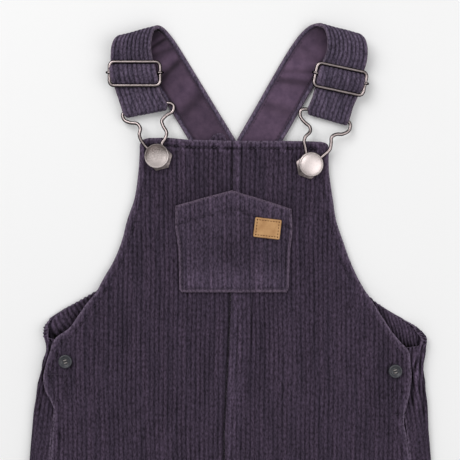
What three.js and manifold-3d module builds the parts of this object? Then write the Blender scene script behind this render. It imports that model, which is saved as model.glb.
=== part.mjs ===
// Toddler overalls in wide-wale corduroy, laid flat with the straps folded over and fastened.
// Millimetres. While the pieces are placed, the top of the bib is y = 0 at the centre, +X is to
// the right as seen from the front, +Y runs up to the straps and the surface below is z = 0.
// The finished group is then moved so that its origin is the middle of its footprint.

import * as THREE from 'three';
import { mergeVertices } from 'three/addons/utils/BufferGeometryUtils.js';
import Module from 'manifold-3d';

const wasm = await Module();
wasm.setup();

// Driving dimensions
const seamGap = 0.3;             // between pieces that are sewn or lie together
const waleWidth = 25.4 / 8;      // eight wales to the inch
const waleDepth = 0.6;           // crest to groove
const frontWall = 2.2;           // crest to inside
const backWall = 1.6;
const frontRest = 4.2;           // crest height where the front lies straight on the back
const neckRise = 4.2;            // how far the bib is lifted by the straps' sewn ends
const bandRise = 0.8;            // the lapped centre seam stands up by one seam allowance
const pocketWall = 1.6;
const facingWall = 1.4;
const strapWidth = 28;
const strapWall = 1.4;           // without the wales
const strapWaleDepth = 0.5;
const strapWales = 9;
const liningWidth = 22;
const liningWall = 0.9;
const garmentCentre = -3;        // the garment lies a little left of its bib's centre
const topLimit = 30;             // taller than any piece, for the cutting prisms

const wireRadius = 1;
const sliderWidth = 37.5;
const sliderHeight = 18.8;
const sliderCorner = 4;
const sliderFrameZ = 7.9;
const crossbarRadius = 0.9;
const crossbarDrop = 1.75;       // its ends curl under the frame's sides
const capRadius = 8.5;           // 17 mm tack button
const plateRadius = 9.2;
const plateWall = 1;
const shankRadius = 2.6;
const capUnderside = 3.6;        // above the underside of the base plate
const buttonRadius = 4.7;
const buttonWall = 2.2;
const labelSize = { width: 18.4, height: 13.7, wall: 1.2 };

// Outlines, read at heights y down the garment
const frontEdges = [
  { y: -3, left: -66.0, right: 65.6 },
  { y: -20, left: -66.9, right: 65.8 },
  { y: -41, left: -70.0, right: 68.6 },
  { y: -55, left: -74.8, right: 70.8 },
  { y: -69, left: -78.4, right: 75.4 },
  { y: -83, left: -84.0, right: 80.4 },
  { y: -97, left: -92.0, right: 86.8 },
  { y: -105, left: -96.2, right: 91.4 },
  { y: -112, left: -102.0, right: 96.0 },
  { y: -121.5, left: -108.6, right: 102.0 },
  { y: -130.5, left: -115.4, right: 107.8 },
  { y: -136, left: -123.4, right: 112.0 },
  { y: -139.5, left: -125.8, right: 115.0 },
  { y: -144, left: -127.2, right: 119.6 },
  { y: -153.5, left: -130.2, right: 121.8 },
  { y: -165, left: -132.4, right: 122.5 },
  { y: -173, left: -131.0, right: 121.6 },
  { y: -185, left: -125.4, right: 119.0 },
  { y: -192, left: -125.6, right: 117.6 },
  { y: -208, left: -127.0, right: 120.2 },
  { y: -262, left: -131.0, right: 125.0 },
  { y: -330, left: -135.6, right: 130.0 },
  { y: -420, left: -134.2, right: 128.6 },
  { y: -500, left: -131.0, right: 125.4 },
  { y: -570, left: -127.0, right: 121.4 },
];
const backEdges = [
  { y: -2, left: -36.0, right: 38.0 },
  { y: -18, left: -40.0, right: 42.0 },
  { y: -40, left: -50.0, right: 51.0 },
  { y: -66, left: -66.0, right: 63.0 },
  { y: -90, left: -84.0, right: 80.0 },
  { y: -103.5, left: -95.8, right: 90.0 },
  { y: -111, left: -108.5, right: 97.6 },
  { y: -118, left: -121.6, right: 108.4 },
  { y: -123.4, left: -129.0, right: 117.2 },
  { y: -128.8, left: -132.0, right: 126.0 },
  { y: -136, left: -133.0, right: 134.0 },
  { y: -144, left: -131.8, right: 133.4 },
  { y: -157, left: -134.4, right: 132.6 },
  { y: -170, left: -137.6, right: 133.4 },
  { y: -182, left: -139.4, right: 134.4 },
  { y: -208, left: -141.8, right: 136.0 },
  { y: -262, left: -146.6, right: 140.6 },
  { y: -330, left: -151.0, right: 145.0 },
  { y: -420, left: -149.5, right: 143.5 },
  { y: -500, left: -146.0, right: 140.0 },
  { y: -570, left: -141.5, right: 135.5 },
];
const bibTop = [
  { x: -63.4, y: 1.0 },
  { x: -60, y: 2.2 },
  { x: -46, y: 2.3 },
  { x: -32, y: 0.8 },
  { x: 0, y: 0 },
  { x: 45, y: 0 },
  { x: 60, y: -0.6 },
  { x: 63.4, y: -1.4 },
];
const centreSeam = [
  { y: 20, x: -1.3 },
  { y: -34, x: -1.6 },
  { y: -107, x: -2.7 },
  { y: -143, x: -4.0 },
  { y: -204, x: -7.2 },
  { y: -262, x: -6.4 },
  { y: -330, x: -4.0 },
];
const inseam = [
  { y: -337, left: -8.6, right: 0.6 },
  { y: -352, left: -14.0, right: 6.0 },
  { y: -400, left: -19.0, right: 11.0 },
  { y: -480, left: -22.5, right: 14.6 },
  { y: -570, left: -24.0, right: 17.0 },
];

// How high the front's crests lie above their rest at the side, over the backs' return
const sideLift = [
  { y: -70, lift: 0 },
  { y: -90, lift: 1.6 },
  { y: -104, lift: 3.4 },
  { y: -122, lift: 4.8 },
  { y: -140, lift: 5.4 },
  { y: -164, lift: 5.0 },
  { y: -192, lift: 4.4 },
  { y: -208, lift: 1.2 },
  { y: -330, lift: 0.9 },
  { y: -570, lift: 0.6 },
];

// The backs' fold round the side: its height, and where the return ends on the front
const sideFold = [
  { y: -124, height: 6.6, leftEnd: -120, rightEnd: 113 },
  { y: -140, height: 6.6, leftEnd: -121, rightEnd: 114 },
  { y: -164, height: 6.2, leftEnd: -122, rightEnd: 115.5 },
  { y: -186, height: 5.8, leftEnd: -122.5, rightEnd: 115.5 },
  { y: -191, height: 5.6, leftEnd: -125.9, rightEnd: 118.1 },
  { y: -208, height: 5.4, leftEnd: -127.3, rightEnd: 120.5 },
  { y: -262, height: 5.3, leftEnd: -131.3, rightEnd: 125.3 },
  { y: -330, height: 5.1, leftEnd: -135.9, rightEnd: 130.3 },
  { y: -420, height: 5.0, leftEnd: -134.5, rightEnd: 128.9 },
  { y: -500, height: 4.9, leftEnd: -131.3, rightEnd: 125.7 },
  { y: -570, height: 4.8, leftEnd: -127.3, rightEnd: 121.7 },
];
const foldHeights = [-570, -500, -420, -330, -262, -208, -191, -186, -170, -157, -144, -136, -128.8, -124];
const foldBeyond = 100;          // points of the back's outline further out lie on the fold
const foldReach = 3.4;           // the flat panel stops this far inside the fold's edge
const foldOverlap = 8;           // and the fold's lower layer runs this far into the panel
const curlTop = -124;            // the fold's rim rises from here
const curlFull = -142;           // to its full height here

// Heights at which the front's cloth is read
const clothRows = [-574, -450, -330, -262, -208, -192, -164, -140, -122, -104, -84, -62, -48, -36, -24, -8, 6];

const pocketOutline = [
  { x: -1.6, y: -34.3 },
  { x: -41.0, y: -44.9 },
  { x: -41.3, y: -59.0 },
  { x: -39.0, y: -76.0 },
  { x: -38.5, y: -103.0 },
  { x: -36.2, y: -105.4 },
  { x: 36.0, y: -104.9 },
  { x: 38.0, y: -102.6 },
  { x: 38.6, y: -79.0 },
  { x: 40.4, y: -61.8 },
  { x: 39.6, y: -47.2 },
];
const labelPlace = { x: 22.8, y: -60.7, turn: -6.6 };

// The corduroy band inside the backs' armhole edge, at each side
const sideFacings = {
  left: [
    { x: -91, y: -105 },
    { x: -96, y: -104.2 },
    { x: -108.5, y: -111.4 },
    { x: -120.4, y: -118.0 },
    { x: -126.0, y: -123.2 },
    { x: -128.2, y: -129 },
    { x: -128.2, y: -150 },
    { x: -117, y: -150 },
    { x: -106, y: -127 },
  ],
  right: [
    { x: 86, y: -104 },
    { x: 90.2, y: -104.2 },
    { x: 97.6, y: -111.6 },
    { x: 107.4, y: -118.4 },
    { x: 114.6, y: -123.4 },
    { x: 123.0, y: -129.2 },
    { x: 128.2, y: -134 },
    { x: 128.8, y: -152 },
    { x: 111, y: -152 },
    { x: 98, y: -125 },
  ],
};
const gatheredWale = 2.6;        // the elastic edge draws the wales together

const neckFacing = [
  { x: -27, y: -18 },
  { x: -26, y: -3 },
  { x: -18, y: 0.5 },
  { x: -14.4, y: 4.4 },
  { x: -9, y: 5.6 },
  { x: -6.4, y: 3.6 },
  { x: -4, y: -2.5 },
  { x: 0, y: -4 },
  { x: 24, y: -3 },
  { x: 27, y: -18 },
];
const neckFacingZ = 4.8;

// Strap paths, from the sewn end up the back, over the fold and down through the slider. turn is
// the angle of a section's width from +X in degrees, wales the share of the wale depth that shows.
const strapPaths = {
  left: [
    { x: -3.0, y: -19.8, z: 2.6, turn: 31, wales: 0 },
    { x: -14.4, y: -1.0, z: 2.6, turn: 31, wales: 0 },
    { x: -24.8, y: 16.1, z: 1.8, turn: 31, wales: 0 },
    { x: -38.3, y: 38.4, z: 0.75, turn: 31, wales: 0 },
    { x: -50.3, y: 58.0, z: 0.8, turn: 30, wales: 0 },
    { x: -57.0, y: 67.9, z: 2.0, turn: 25, wales: 0.4 },
    { x: -62.0, y: 73.6, z: 4.8, turn: 20, wales: 1 },
    { x: -65.6, y: 75.4, z: 8.0, turn: 16, wales: 1 },
    { x: -68.8, y: 73.4, z: 10.7, turn: 13, wales: 1 },
    { x: -70.8, y: 68.2, z: 11.4, turn: 9, wales: 1 },
    { x: -71.6, y: 61.6, z: 8.9, turn: 4, wales: 1 },
    { x: -70.8, y: 54.9, z: 5.3, turn: 0, wales: 1 },
    { x: -69.9, y: 50.7, z: 8.0, turn: 0, wales: 1 },
    { x: -69.1, y: 46.5, z: 9.8, turn: 0, wales: 1 },
    { x: -68.2, y: 42.3, z: 8.0, turn: 0, wales: 1 },
    { x: -67.3, y: 38.1, z: 5.3, turn: 0, wales: 1 },
    { x: -65.2, y: 31.0, z: 6.4, turn: 6, wales: 1 },
  ],
  right: [
    { x: 5.7, y: -19.8, z: 2.6, turn: -30, wales: 0 },
    { x: 16.7, y: -0.7, z: 2.6, turn: -30, wales: 0 },
    { x: 26.4, y: 16.1, z: 1.8, turn: -30, wales: 0 },
    { x: 39.0, y: 38.4, z: 0.75, turn: -30, wales: 0 },
    { x: 52.0, y: 60.0, z: 0.8, turn: -31, wales: 0 },
    { x: 60.0, y: 70.4, z: 2.0, turn: -27, wales: 0.4 },
    { x: 66.4, y: 75.8, z: 4.8, turn: -20, wales: 1 },
    { x: 71.6, y: 77.0, z: 8.0, turn: -15, wales: 1 },
    { x: 75.4, y: 74.0, z: 10.7, turn: -13, wales: 1 },
    { x: 77.4, y: 68.0, z: 11.4, turn: -12, wales: 1 },
    { x: 77.6, y: 60.0, z: 8.9, turn: -12, wales: 1 },
    { x: 75.0, y: 50.9, z: 5.3, turn: -12, wales: 1 },
    { x: 74.0, y: 46.8, z: 8.0, turn: -12, wales: 1 },
    { x: 73.0, y: 42.7, z: 9.8, turn: -12, wales: 1 },
    { x: 71.8, y: 38.6, z: 8.0, turn: -12, wales: 1 },
    { x: 70.6, y: 34.5, z: 5.3, turn: -12, wales: 1 },
    { x: 68.2, y: 27.0, z: 6.4, turn: -14, wales: 1 },
  ],
};
// Where a strap turns round the hook's bar, and where its end lies on the way to the crossbar
const loopTurns = {
  left: { x: -61.8, y: 22.9, turn: 11 },
  right: { x: 65.8, y: 18.6, turn: -16 },
};
const strapEnds = {
  left: [
    { x: -64.4, y: 31.0, z: 2.8, turn: 6, wales: 0 },
    { x: -67.0, y: 38.1, z: 3.6, turn: 0, wales: 0 },
  ],
  right: [
    { x: 68.4, y: 27.0, z: 2.8, turn: -14, wales: 0 },
    { x: 70.8, y: 34.5, z: 3.6, turn: -12, wales: 0 },
  ],
};
const hookBarZ = 4;
const strapTurnRadius = 2;       // at the middle of the strap's thickness
const loopSlack = 1.2;
const foldRows = { first: 6, last: 10 };    // rows of the fold, where sections are closer
const liningRows = { first: 1, last: 8 };   // rows of the strap's path that the lining covers

const sliderPlaces = {
  left: { x: -69.1, y: 46.5, turn: 0 },
  right: { x: 73.2, y: 42.7, turn: -12 },
};

// The hooks' wires, one closed ring each: the bar in the strap's loop, the arms and the keyhole
const hookWires = {
  left: [
    { x: -75.6, y: 20.4, z: 4.0 },
    { x: -77.8, y: 18.6, z: 4.0 },
    { x: -76.6, y: 14.8, z: 4.4 },
    { x: -72.6, y: 12.8, z: 5.0 },
    { x: -67.6, y: 12.0, z: 5.7 },
    { x: -65.3, y: 8.6, z: 6.6 },
    { x: -66.0, y: 4.6, z: 7.3 },
    { x: -65.2, y: 1.4, z: 7.5 },
    { x: -62.4, y: -3.0, z: 7.8 },
    { x: -58.6, y: -7.4, z: 8.15 },
    { x: -57.8, y: -11.4, z: 8.25 },
    { x: -54.2, y: -15.2, z: 8.6 },
    { x: -50.2, y: -13.8, z: 8.95 },
    { x: -48.8, y: -10.0, z: 9.1 },
    { x: -49.2, y: -5.6, z: 9.05 },
    { x: -50.2, y: -2.0, z: 9.0 },
    { x: -48.0, y: 1.4, z: 9.0 },
    { x: -47.0, y: 5.6, z: 8.2 },
    { x: -49.6, y: 10.6, z: 6.8 },
    { x: -50.4, y: 14.2, z: 6.0 },
    { x: -47.4, y: 17.8, z: 5.2 },
    { x: -43.0, y: 20.8, z: 4.6 },
    { x: -42.4, y: 24.8, z: 4.3 },
    { x: -45.6, y: 26.6, z: 4.0 },
    { x: -61.8, y: 22.9, z: 4.0 },
  ],
  right: [
    { x: 78.0, y: 14.6, z: 4.0 },
    { x: 80.6, y: 11.6, z: 4.0 },
    { x: 79.6, y: 7.4, z: 4.5 },
    { x: 75.2, y: 4.9, z: 5.4 },
    { x: 70.6, y: 4.6, z: 6.2 },
    { x: 67.4, y: 2.6, z: 6.8 },
    { x: 67.0, y: -1.6, z: 7.1 },
    { x: 66.0, y: -6.0, z: 7.35 },
    { x: 61.8, y: -10.0, z: 7.8 },
    { x: 57.4, y: -14.0, z: 8.25 },
    { x: 56.8, y: -18.2, z: 8.35 },
    { x: 52.6, y: -21.0, z: 8.75 },
    { x: 48.6, y: -18.8, z: 9.1 },
    { x: 48.1, y: -14.6, z: 9.15 },
    { x: 49.4, y: -10.0, z: 9.05 },
    { x: 49.0, y: -5.4, z: 9.1 },
    { x: 48.1, y: -1.0, z: 9.1 },
    { x: 49.0, y: 2.6, z: 8.8 },
    { x: 52.4, y: 6.4, z: 7.6 },
    { x: 52.2, y: 9.8, z: 6.6 },
    { x: 48.6, y: 13.2, z: 5.6 },
    { x: 45.8, y: 17.4, z: 4.7 },
    { x: 46.2, y: 21.6, z: 4.3 },
    { x: 50.0, y: 22.4, z: 4.0 },
    { x: 66.0, y: 18.4, z: 4.0 },
  ],
};
const tackPlaces = {
  left: { x: -53.3, y: -10.7 },
  right: { x: 52.5, y: -16.5 },
};
const buttonPlaces = {
  left: { x: -116.8, y: -152.6 },
  right: { x: 111.0, y: -159.3 },
};

// Materials
const corduroy = new THREE.MeshStandardMaterial({ color: 0x3b3140, roughness: 0.95, metalness: 0 });
const twill = new THREE.MeshStandardMaterial({ color: 0x524656, roughness: 0.85, metalness: 0 });
const patch = new THREE.MeshStandardMaterial({ color: 0xb4885d, roughness: 0.6, metalness: 0 });
const metal = new THREE.MeshStandardMaterial({ color: 0xbcb2b0, roughness: 0.35, metalness: 1 });
const horn = new THREE.MeshStandardMaterial({ color: 0x35353a, roughness: 0.4, metalness: 0 });

const overalls = new THREE.Group();
const sides = ['left', 'right'];

// Small helpers
function ramp(value, from, to) {
  return THREE.MathUtils.clamp((value - from) / (to - from), 0, 1);
}

function readTable(rows, y, column) {
  const last = rows.length - 1;
  if (y >= rows[0].y) return rows[0][column];
  if (y <= rows[last].y) return rows[last][column];
  const next = rows.findIndex((row) => row.y <= y);
  const above = rows[next - 1];
  const below = rows[next];
  const share = (above.y - y) / (above.y - below.y);
  return THREE.MathUtils.lerp(above[column], below[column], share);
}

function evenSteps(from, to, step) {
  const first = Math.floor(from / step);
  const last = Math.ceil(to / step);
  return Array.from({ length: last - first + 1 }, (_, index) => (first + index) * step);
}

function addPiece(name, geometry, material) {
  const mesh = new THREE.Mesh(geometry, material);
  mesh.name = name;
  overalls.add(mesh);
  return mesh;
}

// Closed meshes to solids and back, for the cuts
function solidOf(geometry) {
  const bare = geometry.clone();
  bare.deleteAttribute('normal');
  bare.deleteAttribute('uv');
  const merged = mergeVertices(bare, 1e-4);
  return new wasm.Manifold(new wasm.Mesh({
    numProp: 3,
    vertProperties: new Float32Array(merged.attributes.position.array),
    triVerts: new Uint32Array(merged.index.array),
  }));
}

function geometryOf(solid) {
  const mesh = solid.getMesh();
  const geometry = new THREE.BufferGeometry();
  geometry.setAttribute('position', new THREE.BufferAttribute(mesh.vertProperties, 3));
  geometry.setIndex(new THREE.BufferAttribute(mesh.triVerts, 1));
  geometry.computeVertexNormals();
  return geometry;
}

// A prism over an outline, from one height to another
function prism(points, from, to) {
  const outline = new THREE.Shape(points.map((point) => new THREE.Vector2(point.x, point.y)));
  const geometry = new THREE.ExtrudeGeometry(outline, { depth: to - from, bevelEnabled: false });
  return geometry.translate(0, 0, from);
}

// A closed slab of columns by rows whose vertices are placed one by one: place gets a vertex's
// column, row and whether it is on the outer face
function bentSlab(columns, rows, place) {
  const geometry = new THREE.BoxGeometry(1, 1, 1, columns - 1, rows - 1, 1);
  const vertices = geometry.attributes.position;
  const placed = new THREE.Vector3();
  for (let index = 0; index < vertices.count; index += 1) {
    const column = Math.round((vertices.getX(index) + 0.5) * (columns - 1));
    const row = Math.round((vertices.getY(index) + 0.5) * (rows - 1));
    place(placed, column, row, vertices.getZ(index) > 0);
    vertices.setXYZ(index, placed.x, placed.y, placed.z);
  }
  return geometry;
}

// A slab between two height functions
function heightSlab(xs, ys, lower, upper) {
  return bentSlab(xs.length, ys.length, (placed, column, row, outer) => {
    const x = xs[column];
    const y = ys[row];
    placed.set(x, y, outer ? upper(x, y) : lower(x, y));
  });
}

// Wales: every second column of half a wale is a groove
function grooveAt(x, halfWale, depth) {
  return Math.abs(Math.round(x / halfWale)) % 2 === 1 ? depth : 0;
}

// The height of the front's crests
function frontHeight(x, y) {
  const neck = neckRise * THREE.MathUtils.smoothstep(y, -62, -24) * (1 - ramp(Math.abs(x), 30, 72));
  const outward = THREE.MathUtils.smoothstep(Math.abs(x - garmentCentre), 78, 104);
  return frontRest + neck + outward * readTable(sideLift, y, 'lift');
}

// The lapped centre seam, narrower above the pocket
function bandHeight(x, y) {
  const across = x - readTable(centreSeam, y, 'x');
  const width = y > -40 ? 6 : 15;
  return across > 0.2 && across < width ? bandRise : 0;
}

function pieceOutline(edges, side, top) {
  const half = side === 'left' ? -seamGap / 2 : seamGap / 2;
  const outer = edges.map((row) => ({ x: row[side], y: row.y }));
  const leg = inseam.map((row) => ({ x: row[side], y: row.y })).reverse();
  const seamRows = centreSeam.filter((row) => row.y < top[0].y);
  const seam = seamRows.map((row) => ({ x: row.x + half, y: row.y })).reverse();
  return [...outer, ...leg, ...seam, ...top];
}

// Fronts
function addFront(side) {
  const half = side === 'left' ? -seamGap / 2 : seamGap / 2;
  const start = { x: readTable(centreSeam, 0, 'x') + half, y: 0.03 };
  const corners = side === 'left'
    ? bibTop.filter((point) => point.x < start.x).reverse()
    : bibTop.filter((point) => point.x > start.x);
  const outline = pieceOutline(frontEdges, side, [start, ...corners]);
  const [from, to] = side === 'left' ? [-138, 0] : [-10, 132];
  const fine = evenSteps(from, to, waleWidth / 2);
  const coarse = evenSteps(from - waleWidth, to + waleWidth, waleWidth * 4);
  const shell = heightSlab(fine, clothRows, () => -1, (x, y) => (
    frontHeight(x, y) + (side === 'right' ? bandHeight(x, y) : 0) - grooveAt(x, waleWidth / 2, waleDepth)
  ));
  const inside = heightSlab(coarse, clothRows, () => -2, (x, y) => frontHeight(x, y) - frontWall);
  const cut = solidOf(shell).intersect(solidOf(prism(outline, -3, topLimit))).subtract(solidOf(inside));
  addPiece(`front_${side}`, geometryOf(cut), corduroy);
}

// Backs: a flat panel, and the fold that wraps round the side and ends on the front
function addBack(side) {
  const inward = side === 'left' ? 1 : -1;
  const half = side === 'left' ? -seamGap / 2 : seamGap / 2;
  const start = { x: readTable(centreSeam, -2, 'x') + half, y: -2 };
  const outline = pieceOutline(backEdges, side, [start]);
  const panelEdges = outline.map((point) => {
    const onFold = point.y < curlTop && Math.abs(point.x) > foldBeyond;
    return onFold ? { x: point.x + inward * foldReach, y: point.y } : point;
  });
  const panel = solidOf(prism(panelEdges, 0, backWall));

  const arcColumns = 6;
  const topColumns = 8;
  const columns = 2 + arcColumns + topColumns;
  const fold = bentSlab(columns, foldHeights.length, (placed, column, row, outer) => {
    const y = foldHeights[row];
    const height = readTable(sideFold, y, 'height');
    const sideX = readTable(backEdges, y, side);
    const endX = readTable(sideFold, y, `${side}End`);
    const radius = height / 2;
    const arcX = sideX + inward * radius;
    const groove = column > 3 && column % 2 === 1 ? waleDepth * 0.8 : 0;
    const reach = outer ? radius - groove : radius - backWall;
    if (column === 0) {
      placed.set(arcX + inward * foldOverlap, y, outer ? 0 : backWall);
    } else if (column <= 1 + arcColumns) {
      const angle = Math.PI * (column - 1) / arcColumns;
      placed.set(arcX - inward * reach * Math.sin(angle), y, radius - reach * Math.cos(angle));
    } else {
      const share = (column - 1 - arcColumns) / topColumns;
      placed.set(THREE.MathUtils.lerp(arcX, endX, share), y, radius + reach);
    }
  });
  const wedge = new THREE.ExtrudeGeometry(new THREE.Shape([
    new THREE.Vector2(curlTop + 20, backWall),
    new THREE.Vector2(curlTop, backWall),
    new THREE.Vector2(curlFull, 7),
    new THREE.Vector2(curlFull, topLimit),
    new THREE.Vector2(curlTop + 20, topLimit),
  ]), { depth: 320, bevelEnabled: false });
  wedge.rotateX(Math.PI / 2);
  wedge.rotateZ(Math.PI / 2);
  wedge.translate(-160, 0, 0);
  const wrapped = orientedSolid(fold, side).subtract(solidOf(wedge));
  addPiece(`back_${side}`, geometryOf(panel.add(wrapped)), corduroy);
}

// The mirrored side's slab comes out inside out, so its triangles are turned round
function orientedSolid(geometry, side) {
  if (side === 'left') return solidOf(geometry);
  const turned = geometry.clone();
  const index = turned.index;
  for (let corner = 0; corner < index.count; corner += 3) {
    const second = index.getX(corner + 1);
    index.setX(corner + 1, index.getX(corner + 2));
    index.setX(corner + 2, second);
  }
  return solidOf(turned);
}

function addFacing(name, outline, wale, bottom, from, to) {
  const xs = evenSteps(from, to, wale / 2);
  const top = bottom + facingWall;
  const ribbed = heightSlab(xs, [-160, 20], () => bottom, (x) => top - grooveAt(x, wale / 2, waleDepth * 0.6));
  const cut = solidOf(ribbed).intersect(solidOf(prism(outline, -1, topLimit)));
  addPiece(name, geometryOf(cut), corduroy);
}

// Pocket, made from the front's own heights, moved out. Its floor spans the centre seam's step.
function pocketFloor(x, y) {
  const across = x - readTable(centreSeam, y, 'x');
  const spans = across > -waleWidth * 2 && across < 15 + waleWidth * 2;
  return frontHeight(x, y) + (spans ? bandRise : 0) + seamGap;
}

function addPocket() {
  const fine = evenSteps(-46, 46, waleWidth / 2);
  const coarse = evenSteps(-50, 50, waleWidth * 2);
  const rows = clothRows.filter((y) => y > -130 && y < -20);
  const cloth = heightSlab(fine, rows, () => 0, (x, y) => (
    frontHeight(x, y) + bandHeight(x, y) + seamGap + pocketWall - grooveAt(x, waleWidth / 2, waleDepth)
  ));
  const floor = heightSlab(coarse, rows, () => -1, pocketFloor);
  const cut = solidOf(cloth).intersect(solidOf(prism(pocketOutline, 1, topLimit))).subtract(solidOf(floor));
  addPiece('pocket', geometryOf(cut), corduroy);
}

function addLabel() {
  const { width, height, wall } = labelSize;
  const corner = width / 2;
  const floor = Math.max(
    pocketFloor(labelPlace.x - corner, labelPlace.y + height / 2),
    pocketFloor(labelPlace.x + corner, labelPlace.y + height / 2),
  ) + pocketWall + seamGap;
  const label = addPiece('label', new THREE.BoxGeometry(width, height, wall), patch);
  label.position.set(labelPlace.x, labelPlace.y, floor + wall / 2);
  label.rotation.z = THREE.MathUtils.degToRad(labelPlace.turn);
}

// Straps and their linings: sections along a smooth path
function strapSection(path, step) {
  const curve = new THREE.CatmullRomCurve3(path.map((row) => new THREE.Vector3(row.x, row.y, row.z)));
  const share = step / (path.length - 1);
  const centre = curve.getPoint(share);
  const along = curve.getTangent(share);
  const before = Math.min(Math.floor(step), path.length - 2);
  const part = step - before;
  const turn = THREE.MathUtils.degToRad(
    THREE.MathUtils.lerp(path[before].turn, path[before + 1].turn, part),
  );
  const across = new THREE.Vector3(Math.cos(turn), Math.sin(turn), 0);
  const outward = new THREE.Vector3().crossVectors(along, across).normalize();
  const wales = THREE.MathUtils.lerp(path[before].wales, path[before + 1].wales, part);
  return { centre, across, outward, wales };
}

// Rows of a half turn round a bar: towards says which way the turn bulges along the strap
function turnRows(bar, barZ, towards, reach) {
  const angle = THREE.MathUtils.degToRad(bar.turn);
  const alongX = -Math.sin(angle) * towards;
  const alongY = Math.cos(angle) * towards;
  return [0, 1, 2, 3, 4].map((step) => {
    const round = step * Math.PI / 4;
    const bulge = reach * Math.sin(round);
    const rise = towards < 0 ? Math.cos(round) : -Math.cos(round);
    const wales = towards < 0 ? 1 - step / 4 : 0;
    return {
      x: bar.x + alongX * bulge,
      y: bar.y + alongY * bulge,
      z: barZ + strapTurnRadius * rise,
      turn: bar.turn,
      wales,
    };
  });
}

function addStrap(side) {
  const path = [
    ...strapPaths[side],
    ...turnRows(loopTurns[side], hookBarZ, -1, strapTurnRadius + loopSlack),
    ...strapEnds[side],
    ...turnRows(sliderPlaces[side], sliderFrameZ - crossbarDrop, 1, strapTurnRadius),
  ];
  const columns = strapWales * 2 + 1;
  const steps = path.flatMap((_, index) => (
    index >= foldRows.first && index < foldRows.last ? [index, index + 0.5] : [index]
  ));
  const sections = steps.map((step) => strapSection(path, step));
  const slab = bentSlab(columns, sections.length, (placed, column, row, outer) => {
    const { centre, across, outward, wales } = sections[row];
    const crest = column % 2 === 1 ? strapWaleDepth * wales : 0;
    const out = outer ? strapWall / 2 + crest : -strapWall / 2;
    const sideways = (column / (columns - 1) - 0.5) * strapWidth;
    placed.copy(centre).addScaledVector(across, sideways).addScaledVector(outward, out);
  });
  const mitre = side === 'left' ? [-120, 1.5] : [1.8, 120];
  const keep = prism([
    { x: mitre[0], y: -30 },
    { x: mitre[1], y: -30 },
    { x: mitre[1], y: 100 },
    { x: mitre[0], y: 100 },
  ], -5, topLimit);
  const cut = orientedSolid(slab, 'right').intersect(solidOf(keep));
  addPiece(`strap_${side}`, geometryOf(cut), corduroy);

  const lined = sections.filter((_, index) => steps[index] >= liningRows.first && steps[index] <= liningRows.last);
  const near = -strapWall / 2 - seamGap;
  const lining = bentSlab(3, lined.length, (placed, column, row, outer) => {
    const { centre, across, outward } = lined[row];
    const sideways = (column / 2 - 0.5) * liningWidth;
    placed.copy(centre).addScaledVector(across, sideways);
    placed.addScaledVector(outward, outer ? near : near - liningWall);
  });
  addPiece(`strap_lining_${side}`, geometryOf(orientedSolid(lining, 'right')), twill);
}

// Slider: a wire frame and a crossbar whose ends curl round the frame's sides
function addSlider(side) {
  const halfWidth = sliderWidth / 2 - wireRadius;
  const halfHeight = sliderHeight / 2 - wireRadius;
  const corner = sliderCorner - wireRadius;
  const frame = new THREE.CurvePath();
  const turns = [
    [1, 1, 0],
    [-1, 1, 1],
    [-1, -1, 2],
    [1, -1, 3],
  ];
  const points = turns.flatMap(([signX, signY, quarter]) => [0, 1, 2, 3].map((step) => {
    const angle = (quarter + step / 3) * Math.PI / 2;
    return new THREE.Vector3(
      signX * (halfWidth - corner) + corner * Math.cos(angle),
      signY * (halfHeight - corner) + corner * Math.sin(angle),
      0,
    );
  }));
  for (let index = 0; index < points.length; index += 1) {
    frame.add(new THREE.LineCurve3(points[index], points[(index + 1) % points.length]));
  }
  const ring = solidOf(closedWire(points, wireRadius, 6));
  const bar = new THREE.CylinderGeometry(crossbarRadius, crossbarRadius, halfWidth * 2, 6);
  bar.rotateZ(Math.PI / 2);
  bar.translate(0, 0, -crossbarDrop);
  let solid = ring.add(solidOf(bar));
  for (const end of [-1, 1]) {
    const curl = new THREE.TorusGeometry(crossbarDrop, crossbarRadius, 6, 10);
    curl.rotateX(Math.PI / 2);
    curl.translate(end * halfWidth, 0, 0);
    solid = solid.add(solidOf(curl));
  }
  const place = sliderPlaces[side];
  const slider = addPiece(`slider_${side}`, geometryOf(solid), metal);
  slider.position.set(place.x, place.y, sliderFrameZ);
  slider.rotation.z = THREE.MathUtils.degToRad(place.turn);
}

// A closed ring of wire with one section at each point
function closedWire(points, radius, wireSides) {
  const count = points.length;
  const ring = new THREE.TorusGeometry(10, 1, wireSides, count);
  const vertices = ring.attributes.position;
  const frames = points.map((point, index) => {
    const next = points[(index + 1) % count];
    const before = points[(index + count - 1) % count];
    const forward = new THREE.Vector3().subVectors(next, point).normalize();
    const arriving = new THREE.Vector3().subVectors(point, before).normalize();
    const along = new THREE.Vector3().addVectors(forward, arriving).normalize();
    const outward = new THREE.Vector3(along.y, -along.x, 0).normalize();
    const up = new THREE.Vector3().crossVectors(outward, along).normalize();
    const stretch = 1 / Math.max(Math.sqrt((1 + forward.dot(arriving)) / 2), 0.6);
    return { outward, up, stretch };
  });
  for (let around = 0; around <= wireSides; around += 1) {
    for (let step = 0; step <= count; step += 1) {
      const index = around * (count + 1) + step;
      const frame = frames[step % count];
      const angle = (around / wireSides) * Math.PI * 2;
      const placed = points[step % count].clone();
      placed.addScaledVector(frame.outward, radius * frame.stretch * Math.cos(angle));
      placed.addScaledVector(frame.up, radius * Math.sin(angle));
      vertices.setXYZ(index, placed.x, placed.y, placed.z);
    }
  }
  return ring;
}

function addHook(side) {
  const route = new THREE.CatmullRomCurve3(
    hookWires[side].map((point) => new THREE.Vector3(point.x, point.y, point.z)),
    true,
  );
  const points = route.getSpacedPoints(50).slice(0, -1);
  const wire = closedWire(points, wireRadius, 6);
  addPiece(`hook_${side}`, wire, metal);
}

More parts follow.
